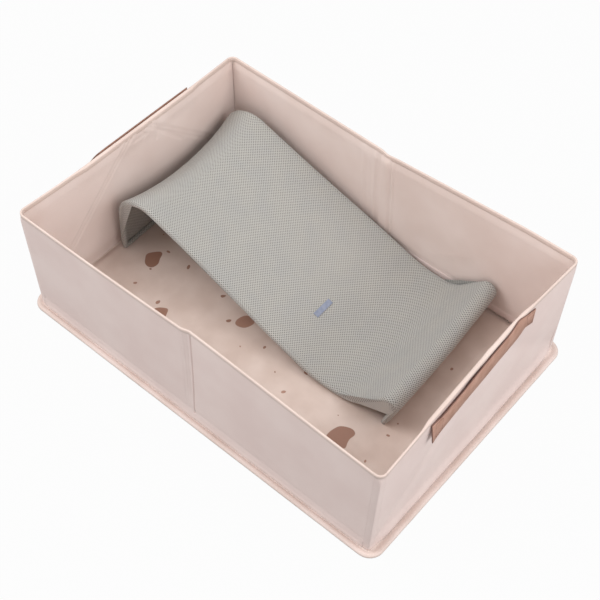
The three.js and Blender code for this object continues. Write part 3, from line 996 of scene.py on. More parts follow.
@dataclass
class LongWall:
    """A long wall: outer and inner cloth, two boards, the web of its crease and its rim.

    Each band beside the pleat is given as height, place and width.
    """

    form: WallForm
    board_thick: float = 2.1
    web_thick: float = 1.0
    board_from: float = 3.3
    board_to: float = 366.0
    board_top: float = 239.5
    cloth_end: float = 367.6
    inner_end: float = 373.5
    foot: float = 25.3
    crease_depth: float = 2.0
    crease_width: float = 1.1
    crease_bow: float = 2.0
    streaks: tuple[float, ...] = (6.0, 11.0, 17.0)
    board_mark: float = 0.5
    pleat: float = 2.8
    bands: tuple[tuple[float, float, float], ...] = (
        (1.4, 15.0, 2.0),
        (1.3, -27.0, 4.2),
        (1.1, -52.0, 5.0),
    )
    faint_folds: tuple[Crease, ...] = (
        Crease((168.0, 150.0), (240.0, 64.0), 1.6, 4.0),
        Crease((104.0, 56.0), (196.0, 118.0), 1.1, 4.5),
        Crease((-300.0, 60.0), (-236.0, 240.0), 0.3, 6.0),
    )

    @property
    def word(self) -> str:
        """Returns the wall's name, front or back."""
        return self.form.side.name.lower()

    @property
    def outward(self) -> Vector:
        """Returns the direction that the outer face looks to."""
        return Vector((0.0, float(self.form.side.value), 0.0))

    def columns(self, end: float) -> list[float]:
        """Returns the stations along the wall to its end, close together at the crease."""
        return hemmed(
            stations(
                (-end, -330.0, 6.0),
                (-330.0, -60.0, 9.0),
                (-60.0, -16.0, 1.6),
                (-16.0, 10.0, 0.5),
                (10.0, 34.0, 1.2),
                (34.0, 330.0, 9.0),
                (330.0, end, 6.0),
            )
        )

    def outer_dent(self, x: float, z: float) -> float:
        """Returns how deep the outer cloth is pressed in.

        Args:
            x: place along the wall.
            z: height.

        Returns:
            The depth in millimetres.
        """
        crease = self.form.crease_x + self.crease_bow * bell(z - 140.0, 90.0)
        line = self.crease_depth * bell(x - crease, self.crease_width)
        streaks = sum(0.4 * bell(x - crease + step, 2.2) for step in self.streaks)
        board_edge = self.board_mark * bell(z - 32.0, 5.0)
        bulge = -self.board_mark * bell(z - 26.0, 4.0)
        return line + streaks * smooth(25.0, 70.0, z) + board_edge + bulge

    def inner_dent(self, x: float, z: float) -> float:
        """Returns how far the inner cloth stands into the tub at its pleat and folds.

        Args:
            x: place along the wall.
            z: height.

        Returns:
            The height in millimetres.
        """
        pleat = self.pleat * smooth(-13.0, -11.0, x) * smooth(14.0, 3.0, x)
        bands = sum(height * bell(x - place, width) for height, place, width in self.bands)
        faint = sum(fold.at(x, z) for fold in self.faint_folds)
        board_edge = -0.4 * bell(z - 31.0, 5.0)
        return (pleat + bands) * smooth(246.0, 232.0, z) + faint + board_edge

    def build_cloth(self) -> list[bpy.types.Object]:
        """Builds the outer and the inner cloth.

        Returns:
            The two pieces.
        """
        rows = hemmed(
            stations((self.foot, 44.0, 2.2), (44.0, 220.0, 10.0), (220.0, SIZES.cloth_top, 2.0))
        )
        outer = weave(
            f"{self.word}_wall_outer_cloth",
            self.columns(self.cloth_end),
            rows,
            lambda x, z: wall_spot(
                self.form, x, SIZES.outer_depth(z) + self.outer_dent(x, z), z
            ),
            self.outward,
        )
        inner = weave(
            f"{self.word}_wall_inner_cloth",
            self.columns(self.inner_end),
            rows,
            lambda x, z: wall_spot(
                self.form, x, SIZES.inner_depth(z) + self.inner_dent(x, z), z
            ),
            -self.outward,
        )
        for cloth in (outer, inner):
            thicken(cloth, SIZES.skin)
        return [outer, inner]

    def build_boards(self) -> list[bpy.types.Object]:
        """Builds the two stiff boards and the web between them.

        Returns:
            The three pieces.
        """
        made = []
        for sign in (1.0, -1.0):
            name = "right" if (sign > 0) == (self.form.side is Side.FRONT) else "left"
            board = weave(
                f"{self.word}_wall_stiff_board_{name}",
                stations((sign * self.board_from, sign * self.board_to, 12.0)),
                stations((27.0, self.board_top, 12.0)),
                lambda x, z: wall_spot(self.form, x, 1.9 - 0.6 * smooth(226.0, 238.0, z), z),
                self.outward,
            )
            thicken(board, self.board_thick)
            made.append(board)
        web = weave(
            f"{self.word}_wall_crease_web_cloth",
            stations((-3.0, 3.0, 1.5)),
            stations((32.0, 239.0, 12.0)),
            lambda x, z: wall_spot(self.form, x, 2.5, z),
            self.outward,
        )
        thicken(web, self.web_thick)
        made.append(web)
        return made

    def build_rim(self) -> bpy.types.Object:
        """Builds the welded rim.

        Returns:
            The rim.
        """
        section = rim_section(SIZES.rim_width)
        ring = around(len(section))

        def place(x: float, i: float) -> Vector:
            """Puts a point of the section on the wall."""
            depth, z = section[int(i) % len(section)]
            return wall_spot(self.form, x, depth, z)

        return weave(
            f"{self.word}_wall_welded_rim",
            self.columns(self.cloth_end),
            ring,
            place,
            ring_up=True,
            capped=True,
        )

    def build_fold_strip(self) -> bpy.types.Object:
        """Builds the soft strip at the wall's foot, on which it folds.

        Returns:
            The strip.
        """
        section = [
            (0.4, 7.35),
            (-0.9, 8.6),
            (-1.7, 11.0),
            (-1.8, 13.5),
            (-1.2, 16.5),
            (-0.3, 19.0),
            (-0.2, 21.5),
            (-0.6, 24.0),
            (0.2, 25.6),
            (1.5, 26.4),
            (4.6, 26.4),
            (5.9, 25.2),
            (6.3, 22.0),
            (6.3, 12.0),
            (6.1, 7.35),
            (3.0, 7.35),
        ]
        ring = around(len(section))

        def place(x: float, i: float) -> Vector:
            """Puts a point of the section at the wall's foot."""
            depth, z = section[int(i) % len(section)]
            ease = smooth(371.0, 352.0, abs(x))
            depth = depth * ease if depth < 0.0 else depth
            soft = 0.5 * waves(x, z, 55.0, 11.0) * smooth(8.0, 12.0, z) * ease
            return wall_spot(self.form, x, depth - (soft if depth < 2.0 else 0.0), z)

        return weave(
            f"{self.word}_wall_soft_fold_strip",
            stations((-367.6, -340.0, 5.0), (-340.0, 340.0, 10.0), (340.0, 367.6, 5.0)),
            ring,
            place,
            ring_up=True,
            capped=True,
        )

    def dress(self) -> None:
        """Builds the wall's pieces and settles each one."""
        body = f"{self.word}_wall"
        outer, inner = self.build_cloth()
        boards = self.build_boards()
        settle(outer, OUTER_CLOTH, body, [f"{body}_skin"])
        settle(inner, INNER_CLOTH, body, [f"{body}_liner"])
        for board in boards[:2]:
            node = f"{body}_board_{board.name.rsplit('_', 1)[1]}"
            settle(board, BOARD, body, [node])
        web = settle(boards[2], OUTER_CLOTH, body, [f"{body}_crease_web"])
        settle(self.build_rim(), WELDED_EDGE_PAINTED_SHADE, body, [f"{body}_rim"])
        strip = self.build_fold_strip()
        strip.data.materials.append(OUTER_CLOTH.material())
        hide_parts(f"{self.word}_fold_strip")
        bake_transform(strip)
        LOG.info("%s: blends tub_base to %s", strip.name, body)


@dataclass
class EndWall:
    """An end wall: outer and inner cloth, interlining, rim and the carrying strap.

    Each seam is given as its two places along the strap and its two shares across it.
    """

    form: EndForm
    strap_line: tuple[tuple[float, ...], ...]
    rim_at_strap: float = 6.2
    cloth_end: float = 251.2
    inner_end: float = 257.0
    strap_thick: float = 2.0
    strap_round: float = 0.6
    strap_crown: float = 0.25
    strap_gap: float = 0.3
    strap_smoothing: float = 4.0
    stitch_pitch: float = 3.6
    stitch_length: float = 2.6
    thread_radius: float = 0.35
    patch_thick: float = 0.9
    pinch: float = 0.0
    seams: tuple[tuple[float, float, float, float], ...] = (
        (-134.0, -117.0, 0.12, 0.88),
        (117.0, 136.0, 0.12, 0.88),
    )

    @property
    def word(self) -> str:
        """Returns the end's name, left or right."""
        return self.form.end.name.lower()

    @property
    def outward(self) -> Vector:
        """Returns the direction that the outer face looks to."""
        return Vector((float(self.form.end.value), 0.0, 0.0))

    def columns(self, end: float) -> list[float]:
        """Returns the stations along the end wall."""
        return hemmed(stations((-end, end, 3.2)))

    def rows(self) -> list[float]:
        """Returns the stations up the end."""
        return hemmed(
            stations((SIZES.foot, 40.0, 3.0), (40.0, 236.0, 3.4), (236.0, SIZES.cloth_top, 1.6))
        )

    def widening(self, y: float) -> float:
        """Returns the rim's width, wider where the strap is sewn behind it."""
        way = float(self.form.end.value)
        share = smooth(-168.0, -140.0, way * y) * smooth(150.0, 112.0, way * y)
        return mix(SIZES.rim_width, self.rim_at_strap, share)

    def inner_face(self, y: float, z: float) -> float:
        """Returns how deep the inner cloth's face lies.

        Args:
            y: place along the end.
            z: height.

        Returns:
            The depth in millimetres.
        """
        extra = self.widening(y) - SIZES.rim_width
        return SIZES.inner_depth(z) + extra * smooth(205.0, 244.0, z)

    def pinched(self, y: float, z: float) -> float:
        """Returns how far the outer cloth is drawn in where the strap's bend presses on it."""
        return self.pinch * bell(y - 96.0, 17.0) * smooth(205.0, 244.0, z)

    def build_cloth(self) -> list[bpy.types.Object]:
        """Builds the outer cloth, the interlining and the inner cloth.

        Returns:
            The three pieces.
        """
        outer = weave(
            f"{self.word}_end_outer_cloth",
            self.columns(self.cloth_end),
            self.rows(),
            lambda y, z: end_spot(
                self.form,
                y,
                SIZES.outer_depth(z) + self.form.gusset_at(y, z, False) + self.pinched(y, z),
                z,
            ),
            self.outward,
        )
        middle = weave(
            f"{self.word}_end_foam_interlining",
            stations((-246.0, 246.0, 12.0)),
            stations((9.0, 239.0, 12.0)),
            lambda y, z: end_spot(self.form, y, 2.2 + 0.6 * self.form.gusset_at(y, z, False), z),
            self.outward,
        )
        inner = weave(
            f"{self.word}_end_inner_cloth",
            self.columns(self.inner_end),
            self.rows(),
            lambda y, z: end_spot(
                self.form, y, self.inner_face(y, z) + self.form.gusset_at(y, z, True), z
            ),
            -self.outward,
        )
        made = [outer, middle, inner]
        for cloth in made:
            thicken(cloth, SIZES.skin, even=False)
        return made

    def build_rim(self) -> bpy.types.Object:
        """Builds the welded rim, wider at the strap.

        Returns:
            The rim.
        """
        count = len(rim_section(SIZES.rim_width))
        ring = around(count)

        def place(y: float, i: float) -> Vector:
            """Puts a point of the section on the end wall."""
            depth, z = rim_section(self.widening(y))[int(i) % count]
            dip = 0.8 * bell(y - 18.0, 9.0) if depth > SIZES.rim_width * 0.6 else 0.0
            dip += self.pinched(y, z) * smooth(4.0, 0.0, depth)
            return end_spot(self.form, y, depth + dip, z)

        return weave(
            f"{self.word}_end_welded_rim",
            stations((-251.0, 251.0, 5.0)),
            ring,
            place,
            ring_up=True,
            capped=True,
        )

    def strap_at(self, y: float) -> list[float]:
        """Gives the strap's two edges at a place, the table's steps smoothed.

        Args:
            y: place along the end, of the top edge.

        Returns:
            Place, stand-off and height of the top edge, then of the foot.
        """
        table = self.strap_line
        reach = min(self.strap_smoothing, y - table[0][0], table[-1][0] - y)
        found = []
        for step in (-reach, 0.0, reach):
            at = min(max(y + step, table[0][0]), table[-1][0])
            low, high = next(pair for pair in zip(table, table[1:]) if at <= pair[1][0])
            share = (at - low[0]) / (high[0] - low[0])
            found.append([mix(a, b, share) for a, b in zip(low, high)])
        return [sum(values) / len(values) for values in zip(*found)]

    def strap_spot(self, y: float, share: float, depth: float) -> Vector:
        """Gives a point of the strap.

        Args:
            y: place along the end, of the strap's top edge.
            share: 0 at the strap's lower edge, 1 at its top edge.
            depth: how far the point lies outward from the strap's inner face.

        Returns:
            The point in millimetres.
        """
        row = self.strap_at(y)
        ends = []
        for y_edge, off, z_edge in (row[3:], row[:3]):
            face = SIZES.half_length + self.form.outward(y_edge, z_edge)
            x = face + self.strap_gap + off + depth
            ends.append(Vector((self.form.end.value * x, y_edge, z_edge)))
        return ends[0].lerp(ends[1], share)

    def build_strap(self) -> bpy.types.Object:
        """Builds the strap, a flat band with rounded edges and wider sewn tabs.

        Returns:
            The strap.
        """
        round_in, thick = self.strap_round, self.strap_thick
        section = [
            (0.02, 0.0),
            (0.98, 0.0),
            (1.0, round_in),
            (1.0, thick - round_in),
            (0.98, thick),
            (0.5, thick + self.strap_crown),
            (0.02, thick),
            (0.0, thick - round_in),
            (0.0, round_in),
        ]
        ring = around(len(section))
        first, last = self.strap_line[0][0], self.strap_line[-1][0]

        def place(y: float, i: float) -> Vector:
            """Puts a point of the band's section at its place along the end."""
            return self.strap_spot(y, *section[int(i) % len(section)])

        strap = weave(
            f"{self.word}_carrying_strap",
            stations((first, -70.0, 2.0), (-70.0, 70.0, 4.0), (70.0, last, 2.0)),
            ring,
            place,
            ring_up=True,
            capped=True,
        )
        strap.data.materials.append(STRAP.material())
        strap.data.materials.append(STRAP_EDGE.material())
        for face in strap.data.polygons:
            if abs(face.normal.x) < 0.8:
                face.material_index = 1
        return strap

    def build_stitches(self) -> bpy.types.Object:
        """Builds the boxes of stitches that hold the strap's tabs.

        Returns:
            The stitches in one piece.
        """
        parts = []
        pitch, way = self.stitch_pitch, float(self.form.end.value)
        outside = self.strap_thick + 0.2
        for low, high, foot, top in self.seams:
            corners = [(low, foot), (high, foot), (high, top), (low, top), (low, foot)]
            for (y0, s0), (y1, s1) in zip(corners, corners[1:]):
                a = self.strap_spot(way * y0, s0, 0.0)
                b = self.strap_spot(way * y1, s1, 0.0)
                count = max(1, int((b - a).length / pitch))
                for k in range(count):
                    ends = [
                        self.strap_spot(way * mix(y0, y1, share), mix(s0, s1, share), outside)
                        for share in (k / count, (k + self.stitch_length / pitch) / count)
                    ]
                    parts.append(stitch(*ends, self.thread_radius))
        return join_parts(f"{self.word}_strap_stitches", parts)

    def build_patch(self, side: Side) -> bpy.types.Object:
        """Builds the patch behind a strap's tab.

        Args:
            side: the front or the back tab.

        Returns:
            The patch.
        """
        sign = float(side.value)
        patch = weave(
            f"{self.word}_strap_patch_{side.name.lower()}",
            stations((sign * 93.5, sign * 138.5, 5.0)),
            stations((180.5, 238.0, 6.0)),
            lambda y, z: end_spot(self.form, y, 3.7 + self.form.gusset_at(y, z, False) * 0.6, z),
            self.outward,
        )
        thicken(patch, self.patch_thick, even=False)
        return patch

    def dress(self) -> None:
        """Builds the end's pieces and settles each one."""
        outer, middle, inner = self.build_cloth()
        word = self.word
        cloths = (
            (outer, OUTER_CLOTH, "coated_fabric", "skin"),
            (middle, FOAM, "foam", "foam"),
            (inner, INNER_CLOTH, "liner", "liner"),
        )
        for piece, finish, slot, node in cloths:
            settle(piece, finish, "tub_base", [f"{word}_end_{node}"], squashed=True)
        rim = self.build_rim()
        settle(rim, WELDED_EDGE_PAINTED_SHADE, "tub_base", [f"{word}_end_rim"], squashed=True)
        strap = self.build_strap()
        settle(strap, STRAP, "tub_base", [f"{word}_handle"], squashed=True)
        threads = self.build_stitches()
        settle(threads, THREAD, "tub_base", squashed=True)
        for side in Side:
            node = f"{word}_handle_patch_{side.name.lower()}"
            patch = self.build_patch(side)
            settle(patch, OUTER_CLOTH, "tub_base", [node], squashed=True)


@dataclass
class Corner:
    """A corner of the tub, where the cloths of two walls are welded round a bend."""

    side: Side
    end: End
    arc_steps: int = 10
    tuck: float = 0.12
    top: float = 248.4
    past_bend: float = 9.0
    sharpness: float = 0.86

    @property
    def name(self) -> str:
        """Returns the corner's name."""
        return f"{self.side.name.lower()}_{self.end.name.lower()}"

    def spot(self, angle: float, depth: float, z: float, sharp: float = 0.0) -> Vector:
        """Gives a point of the corner.

        Args:
            angle: 0 looks along the tub and 90 across it.
            depth: how deep the point lies behind the outer face.
            z: height.
            sharp: 0 follows the bend, 1 a sharp corner.

        Returns:
            The point in millimetres.
        """
        radius = SIZES.corner_round - depth
        turn = math.radians(min(90.0, max(0.0, angle)))
        over = radius * math.radians(max(0.0, angle - 90.0) + min(0.0, angle))
        x, y = radius * math.cos(turn), radius * math.sin(turn)
        if angle < 0.0:
            y = over
        elif angle > 90.0:
            x = -over
        elif sharp:
            most = max(x, y, TINY)
            x, y = mix(x, x * radius / most, sharp), mix(y, y * radius / most, sharp)
        along = ENDS[self.end].outward(self.side.value * SIZES.straight_y, z)
        across = WALLS[self.side].outward(self.end.value * SIZES.straight_x, z)
        return Vector(
            (
                self.end.value * (SIZES.straight_x + x + along),
                self.side.value * (SIZES.straight_y + y + across),
                z,
            )
        )

    def angles(self) -> list[float]:
        """Returns the angles round the bend, a little past its ends."""
        bend = stations((0.0, 90.0, 90.0 / self.arc_steps))
        return [-self.past_bend, *bend, 90.0 + self.past_bend]

    def build_post(self) -> bpy.types.Object:
        """Builds the welded corner from the ground to the rim.

        Returns:
            The corner.
        """
        angles = self.angles()
        outer = [(a, False) for a in angles]
        inner = [(a, True) for a in reversed(angles)]
        section = outer + inner
        ring = around(len(section))

        def place(i: float, z: float) -> Vector:
            """Puts a point of the corner's section at a height."""
            angle, inside = section[int(i) % len(section)]
            sharp = self.sharpness * smooth(243.0, 232.0, z)
            if not inside:
                return self.spot(angle, self.tuck + SIZES.outer_depth(z), z, 0.6 * sharp)
            behind = mix(1.3, self.tuck, smooth(236.0, 246.0, z))
            return self.spot(angle, SIZES.inner_depth(z) - behind, z, sharp)

        return weave(
            f"{self.name}_welded_corner",
            ring,
            stations((SIZES.foot, 40.0, 4.0), (40.0, 236.0, 10.0), (236.0, self.top, 1.6)),
            place,
            ring_along=True,
            capped=True,
        )

    def build_rim(self) -> bpy.types.Object:
        """Builds the rim round the bend.

        Returns:
            The rim.
        """
        section = rim_section(SIZES.rim_width)
        ring = around(len(section))

        def place(angle: float, i: float) -> Vector:
            """Puts a point of the rim's section round the bend."""
            depth, z = section[int(i) % len(section)]
            return self.spot(angle, depth + 0.02, z)

        return weave(
            f"{self.name}_corner_rim", self.angles(), ring, place, ring_up=True, capped=True
        )

    def dress(self) -> None:
        """Builds the corner's pieces and settles each one."""
        post = self.build_post()
        node = f"corner_seam_{self.name}"
        settle(post, INNER_CLOTH, "tub_base", [node], squashed=True)
        post.data.materials.append(OUTER_CLOTH.material())
        centre = Vector(
            (self.end.value * SIZES.straight_x, self.side.value * SIZES.straight_y, 0.0)
        )
        for face in post.data.polygons:
            away = face.center / MM - centre
            away.z = 0.0
            if face.normal.dot(away) > 0.0:
                face.material_index = 1
        settle(self.build_rim(), WELDED_EDGE_PAINTED_SHADE, "tub_base", squashed=True)


@dataclass
class Base:
    """The tub's base: hem, floor cloth, bottom cloth, two boards and the web between them."""

    end_shift: float = 5.0
    hem_section: tuple[tuple[float, float], ...] = (
        (-6.0, 0.1),
        (-6.0, 6.9),
        (-1.0, 6.9),
        (0.4, 6.3),
        (1.3, 5.0),
        (2.2, 5.3),
        (3.4, 6.3),
        (5.6, 6.95),
        (8.2, 6.9),
        (10.4, 6.1),
        (11.7, 4.6),
        (12.0, 3.0),
        (11.7, 1.5),
        (10.6, 0.3),
        (8.0, 0.0),
        (0.0, 0.0),
    )
    arc_step: float = 7.5
    run_steps: tuple[int, int, int, int] = (40, 28, 40, 28)
    sheet_thick: float = 1.1
    gusset_thick: float = 0.9
    web_thick: float = 0.7
    half_sheet: tuple[float, float] = (373.6, 257.2)
    floor_level: float = 7.0
    floor_waves: float = 0.35
    gusset_level: float = 6.95
    bottom_level: float = 1.15
    web_level: float = 2.8
    web_dip: float = 0.25

    def outline(self, out: float) -> list[Vector]:
        """Gives a rounded outline of the base.

        Args:
            out: how far it lies outside the walls.

        Returns:
            The outline's points, once round.
        """
        share = smooth(0.0, 4.0, out)
        half_x = SIZES.half_length + out + self.end_shift * share
        half_y = SIZES.half_width + out
        radius = max(6.0, SIZES.corner_round + out * 1.25)
        arcs = []
        for sx, sy, first in ((1, 1, 0.0), (-1, 1, 90.0), (-1, -1, 180.0), (1, -1, 270.0)):
            centre = Vector((sx * (half_x - radius), sy * (half_y - radius), 0.0))
            turns = [math.radians(turn) for turn in stations((first, first + 90.0, self.arc_step))]
            arcs.append(
                [centre + Vector((math.cos(t), math.sin(t), 0.0)) * radius for t in turns]
            )
        points = []
        for arc, following, steps in zip(arcs, arcs[1:] + arcs[:1], self.run_steps):
            points += arc
            points += [arc[-1].lerp(following[0], k / steps) for k in range(1, steps)]
        return points

    def build_hem(self) -> bpy.types.Object:
        """Builds the sewn hem all round the base.

        Returns:
            The hem.
        """
        rings = [self.outline(out) for out, _ in self.hem_section]
        count, size = len(rings[0]), len(self.hem_section)

        def place(u: float, v: float) -> Vector:
            """Puts a point of the hem's section on its outline."""
            j = int(v) % size
            spot = rings[j][int(u) % count].copy()
            out, z = self.hem_section[j]
            soft = waves(spot.x, spot.y, 26.0, 5.0) * smooth(3.0, 9.0, out)
            spot.z = max(0.0, z + (0.35 * soft if z > 3.0 else 0.0))
            spot.x += 0.3 * soft * (1.0 if spot.x > 0 else -1.0)
            spot.y += 0.3 * soft * (1.0 if spot.y > 0 else -1.0)
            return spot

        return weave(
            "base_sewn_hem", around(count), around(size), place, ring_along=True, ring_up=True
        )

    def build_sheet(self, name: str, level: float, lift: float, step: float) -> bpy.types.Object:
        """Builds a flat cloth of the base.

        Args:
            name: its name.
            level: the height of its upper face.
            lift: how far soft waves raise it.
            step: how far the grid's points are apart.

        Returns:
            The sheet.
        """
        half_x, half_y = self.half_sheet

        def place(x: float, y: float) -> Vector:
            """Puts a point of the sheet on the boards."""
            edge = smooth(half_x, 340.0, abs(x)) * smooth(half_y, 225.0, abs(y))
            rise = lift * edge * (0.5 + 0.5 * waves(x, y, 95.0, 2.0))
            return Vector((x, y, level + rise))

        sheet = weave(
            name, stations((-half_x, half_x, step)), stations((-half_y, half_y, step)), place, UP
        )
        thicken(sheet, self.sheet_thick)
        return sheet

    def build_gusset(self, end: End) -> bpy.types.Object:
        """Builds the soft gusset of floor cloth under an end wall's bulge.

        Args:
            end: the end.

        Returns:
            The gusset.
        """

        def place(y: float, share: float) -> Vector:
            """Puts a point between the floor cloth and the bulge."""
            reach = ENDS[end].outward(y, 8.0)
            return Vector((end.value * mix(372.0, 374.8 + reach, share), y, self.gusset_level))

        piece = weave(
            f"{end.name.lower()}_floor_gusset",
            stations((-250.0, 250.0, 10.0)),
            stations((0.0, 1.0, 0.25)),
            place,
            UP,
        )
        thicken(piece, self.gusset_thick)
        return piece

    def dress(self) -> None:
        """Builds the base's pieces and settles each one."""
        settle(self.build_hem(), HEM_CLOTH_PAINTED_SHADE, "tub_base", ["base_hem"])
        floor = self.build_sheet("printed_floor_cloth", self.floor_level, self.floor_waves, 12.0)
        settle(floor, FLOOR_PRINT, "tub_base", ["floor_sheet"])
        bottom = self.build_sheet("bottom_cloth", self.bottom_level, 0.0, 40.0)
        settle(bottom, OUTER_CLOTH, "tub_base", ["bottom_sheet"])
        web = weave(
            "base_fold_web_cloth",
            stations((-2.7, 2.7, 1.35)),
            stations((-247.0, 247.0, 12.0)),
            lambda x, y: Vector((x, y, self.web_level - self.web_dip * bell(x, 1.6))),
            UP,
        )
        thicken(web, self.web_thick)
        settle(web, OUTER_CLOTH, "tub_base", ["base_fold_web"])
        for end in End:
            gusset = self.build_gusset(end)
            settle(gusset, FLOOR_PRINT, "tub_base")


@dataclass
class Route:
    """The seat's side view: a bent line of straight runs and rounded corners."""

    corners: Sequence[tuple[float, float, float]]
    turn_step: float = 3.0
    run_step: float = 9.0
    points: list[Vector] = field(default_factory=list)
    normals: list[Vector] = field(default_factory=list)
    lengths: list[float] = field(default_factory=list)
    numbers: dict[float, int] = field(default_factory=dict)

    def __post_init__(self) -> None:
        """Works out the route's points, their left normals and the length up to each."""
        spots = [Vector((x, z)) for x, z, _ in self.corners]
        line: list[Vector] = [spots[0]]
        for i in range(1, len(spots) - 1):
            before = (spots[i - 1] - spots[i]).normalized()
            after = (spots[i + 1] - spots[i]).normalized()
            inside = before.angle(after)
            radius = self.corners[i][2]
            cut = radius / math.tan(inside / 2.0)
            centre = spots[i] + (before + after).normalized() * radius / math.sin(inside / 2.0)
            first, last = spots[i] + before * cut, spots[i] + after * cut
            self.run(line, first)
            sweep = math.pi - inside
            a, b = first - centre, last - centre
            sign = 1.0 if a.x * b.y - a.y * b.x > 0 else -1.0
            count = max(2, math.ceil(math.degrees(sweep) / self.turn_step))
            for k in range(1, count + 1):
                turn = Matrix.Rotation(sign * sweep * k / count, 2)
                line.append(centre + turn @ a)
        self.run(line, spots[-1])
        self.points = line
        for i, spot in enumerate(line):
            ahead = line[min(i + 1, len(line) - 1)] - line[max(i - 1, 0)]
            ahead.normalize()
            self.normals.append(Vector((-ahead.y, ahead.x)))
            step = (spot - line[i - 1]).length if i else 0.0
            self.lengths.append((self.lengths[-1] if i else 0.0) + step)
            self.numbers[round(self.lengths[-1], 6)] = i

    def run(self, line: list[Vector], goal: Vector) -> None:
        """Adds a straight run to the line.

        Args:
            line: the points so far.
            goal: where the run ends.
        """
        start = line[-1]
        count = max(1, math.ceil((goal - start).length / self.run_step))
        line += [start.lerp(goal, (k + 1) / count) for k in range(count)]

    def number(self, length: float) -> int:
        """Returns the number of the point that lies at one of the route's lengths."""
        return self.numbers[round(length, 6)]

    @property
    def total(self) -> float:
        """Returns the route's length."""
        return self.lengths[-1]


@dataclass
class BathSeat:
    """The bath seat: bent wires in sleeves with a mesh sling between them.

    The dip, the foot's rise and the ridge are each given as place, height and bend radius.
    """

    place_y: float = 85.0
    turn: float = 1.6
    width: float = 308.0
    wire_inset: float = 6.0
    spread: float = 9.0
    spread_x: float = 80.0
    spread_reach: float = 200.0
    sleeve: float = 5.9
    wrap: float = 4.28
    round_steps: int = 16
    sling_at_bar: float = 4.25
    sleeve_at_bar: float = 4.26
    lift: float = 5.8
    sling_thick: float = 1.5
    sling_inset: float = 0.8
    tab_thick: float = 0.8
    ground: float = 11.3
    head_x: float = -361.5
    hump_x: float = -352.0
    hump_height: float = 192.0
    hump_radius: float = 62.0
    dip: tuple[float, float, float] = (104.0, 16.5, 170.0)
    foot_rise: tuple[float, float, float] = (180.0, 17.5, 60.0)
    ridge: tuple[float, float, float] = (279.0, 120.0, 12.0)
    foot_x: float = 242.0
    hump_sag: float = 24.0
    slope_sag: float = 8.0
    sag_fade: float = 150.0
    skew: float = 0.03
    skew_from: float = 120.0
    skew_to: float = 240.0
    ridge_reach: float = 84.0
    ridge_drop: float = 18.0
    ridge_fade: float = 55.0
    tab_from: float = -0.44
    tab_to: float = -0.16
    tab_x: float = 35.0
    tab_width: float = 11.0

    def __post_init__(self) -> None:
        """Lays out the route and where its hump is."""
        self.route = Route(
            (
                (self.head_x, self.ground, 0.0),
                (self.hump_x, self.hump_height, self.hump_radius),
                self.dip,
                self.foot_rise,
                self.ridge,
                (self.foot_x, self.ground, 0.0),
            )
        )
        leg = math.hypot(self.hump_x - self.head_x, self.hump_height)
        self.hump_at = leg - self.hump_radius / 2.0
        self.settle_seat = Matrix.Translation((0.0, self.place_y, 0.0)) @ Matrix.Rotation(
            math.radians(self.turn), 4, "Z"
        )

    def across(self, x: float) -> float:
        """Returns how far a side wire lies from the seat's middle."""
        spread = self.spread * bell(x - self.spread_x, self.spread_reach)
        return self.width / 2.0 - self.wire_inset + spread

    def sag(self, t: float) -> float:
        """Returns how far the sling hangs through at a length along the route."""
        deep = self.slope_sag + (self.hump_sag - self.slope_sag) * bell(
            t - self.hump_at, self.sag_fade
        )
        left = self.route.total - t - self.ridge_reach
        return deep * max(0.0, min(1.0, t / self.sag_fade, left / self.sag_fade))

    def drop(self, t: float) -> float:
        """Returns how far the sling droops at its ridge at a length along the route."""
        left = self.route.total - t
        near = bell(left - self.ridge_reach, self.ridge_fade)
        return self.ridge_drop * near * min(1.0, left / self.ridge_reach)

    def askew(self, x: float) -> float:
        """Returns how far the foot end stands askew, as a share of the way across."""
        return self.skew * smooth(self.skew_from, self.skew_to, x)

    def spot(self, index: int, y: float, out: float, drop: float = 0.0) -> Vector:
        """Gives a point of the seat, in its place in the tub.

        Args:
            index: the route's point.
            y: place across the seat.
            out: how far the point lies above the route.
            drop: how far it hangs straight down from there.

        Returns:
            The point in millimetres.
        """
        middle, away = self.route.points[index], self.route.normals[index]
        flat = middle + away * out
        x = flat.x - y * self.askew(middle.x)
        return self.settle_seat @ Vector((x, y, flat.y - drop))

    def build_sling(self) -> bpy.types.Object:
        """Builds the mesh sling from sleeve to sleeve.

        Returns:
            The sling.
        """
        route = self.route
        reach = self.width / 2.0

        def place(t: float, y: float) -> Vector:
            """Puts a point of the sling over the route."""
            index = route.number(t)
            share = y / reach
            inner = 1.0 - share * share
            edge = self.across(route.points[index].x) - self.sling_inset
            tight = max(0.0, min(1.0, t / 14.0, (route.total - t) / 14.0))
            lift = mix(self.sling_at_bar, self.lift, tight)
            soft = 0.6 * waves(t, y, 60.0, 9.0) * inner * tight
            hang = self.sag(t) * inner
            return self.spot(index, share * edge, lift - hang + soft, self.drop(t) * inner)

        sling = weave(
            "seat_mesh_sling",
            route.lengths,
            stations(
                (-reach, -0.94 * reach, 1.6),
                (-0.94 * reach, 0.94 * reach, 8.0),
                (0.94 * reach, reach, 1.6),
            ),
            place,
            Vector((0.2, 0.0, 1.0)),
        )
        thicken(sling, self.sling_thick)
        return sling

    def build_sleeve(self, side: Side) -> bpy.types.Object:
        """Builds the sewn sleeve round a side wire.

        Args:
            side: the front or the back wire.

        Returns:
            The sleeve.
        """
        route = self.route
        count, sign = self.round_steps, float(side.value)

        def place(t: float, k: float) -> Vector:
            """Puts a point of the sleeve round the wire."""
            index = route.number(t)
            turn = 2.0 * math.pi * (k / count)
            room = max(0.0, min(1.0, t / 18.0, (route.total - t) / 18.0))
            uneven = 1.0 + 0.025 * waves(t, 10.0 * k, 30.0, 4.0)
            radius = mix(self.sleeve_at_bar, self.sleeve, room) * uneven
            inside = 0.5 - 0.5 * math.cos(turn)
            radius -= 0.5 * room * bell(inside - 1.0, 0.25)
            y = sign * (self.across(route.points[index].x) + radius * math.cos(turn))
            return self.spot(index, y, radius * math.sin(turn))

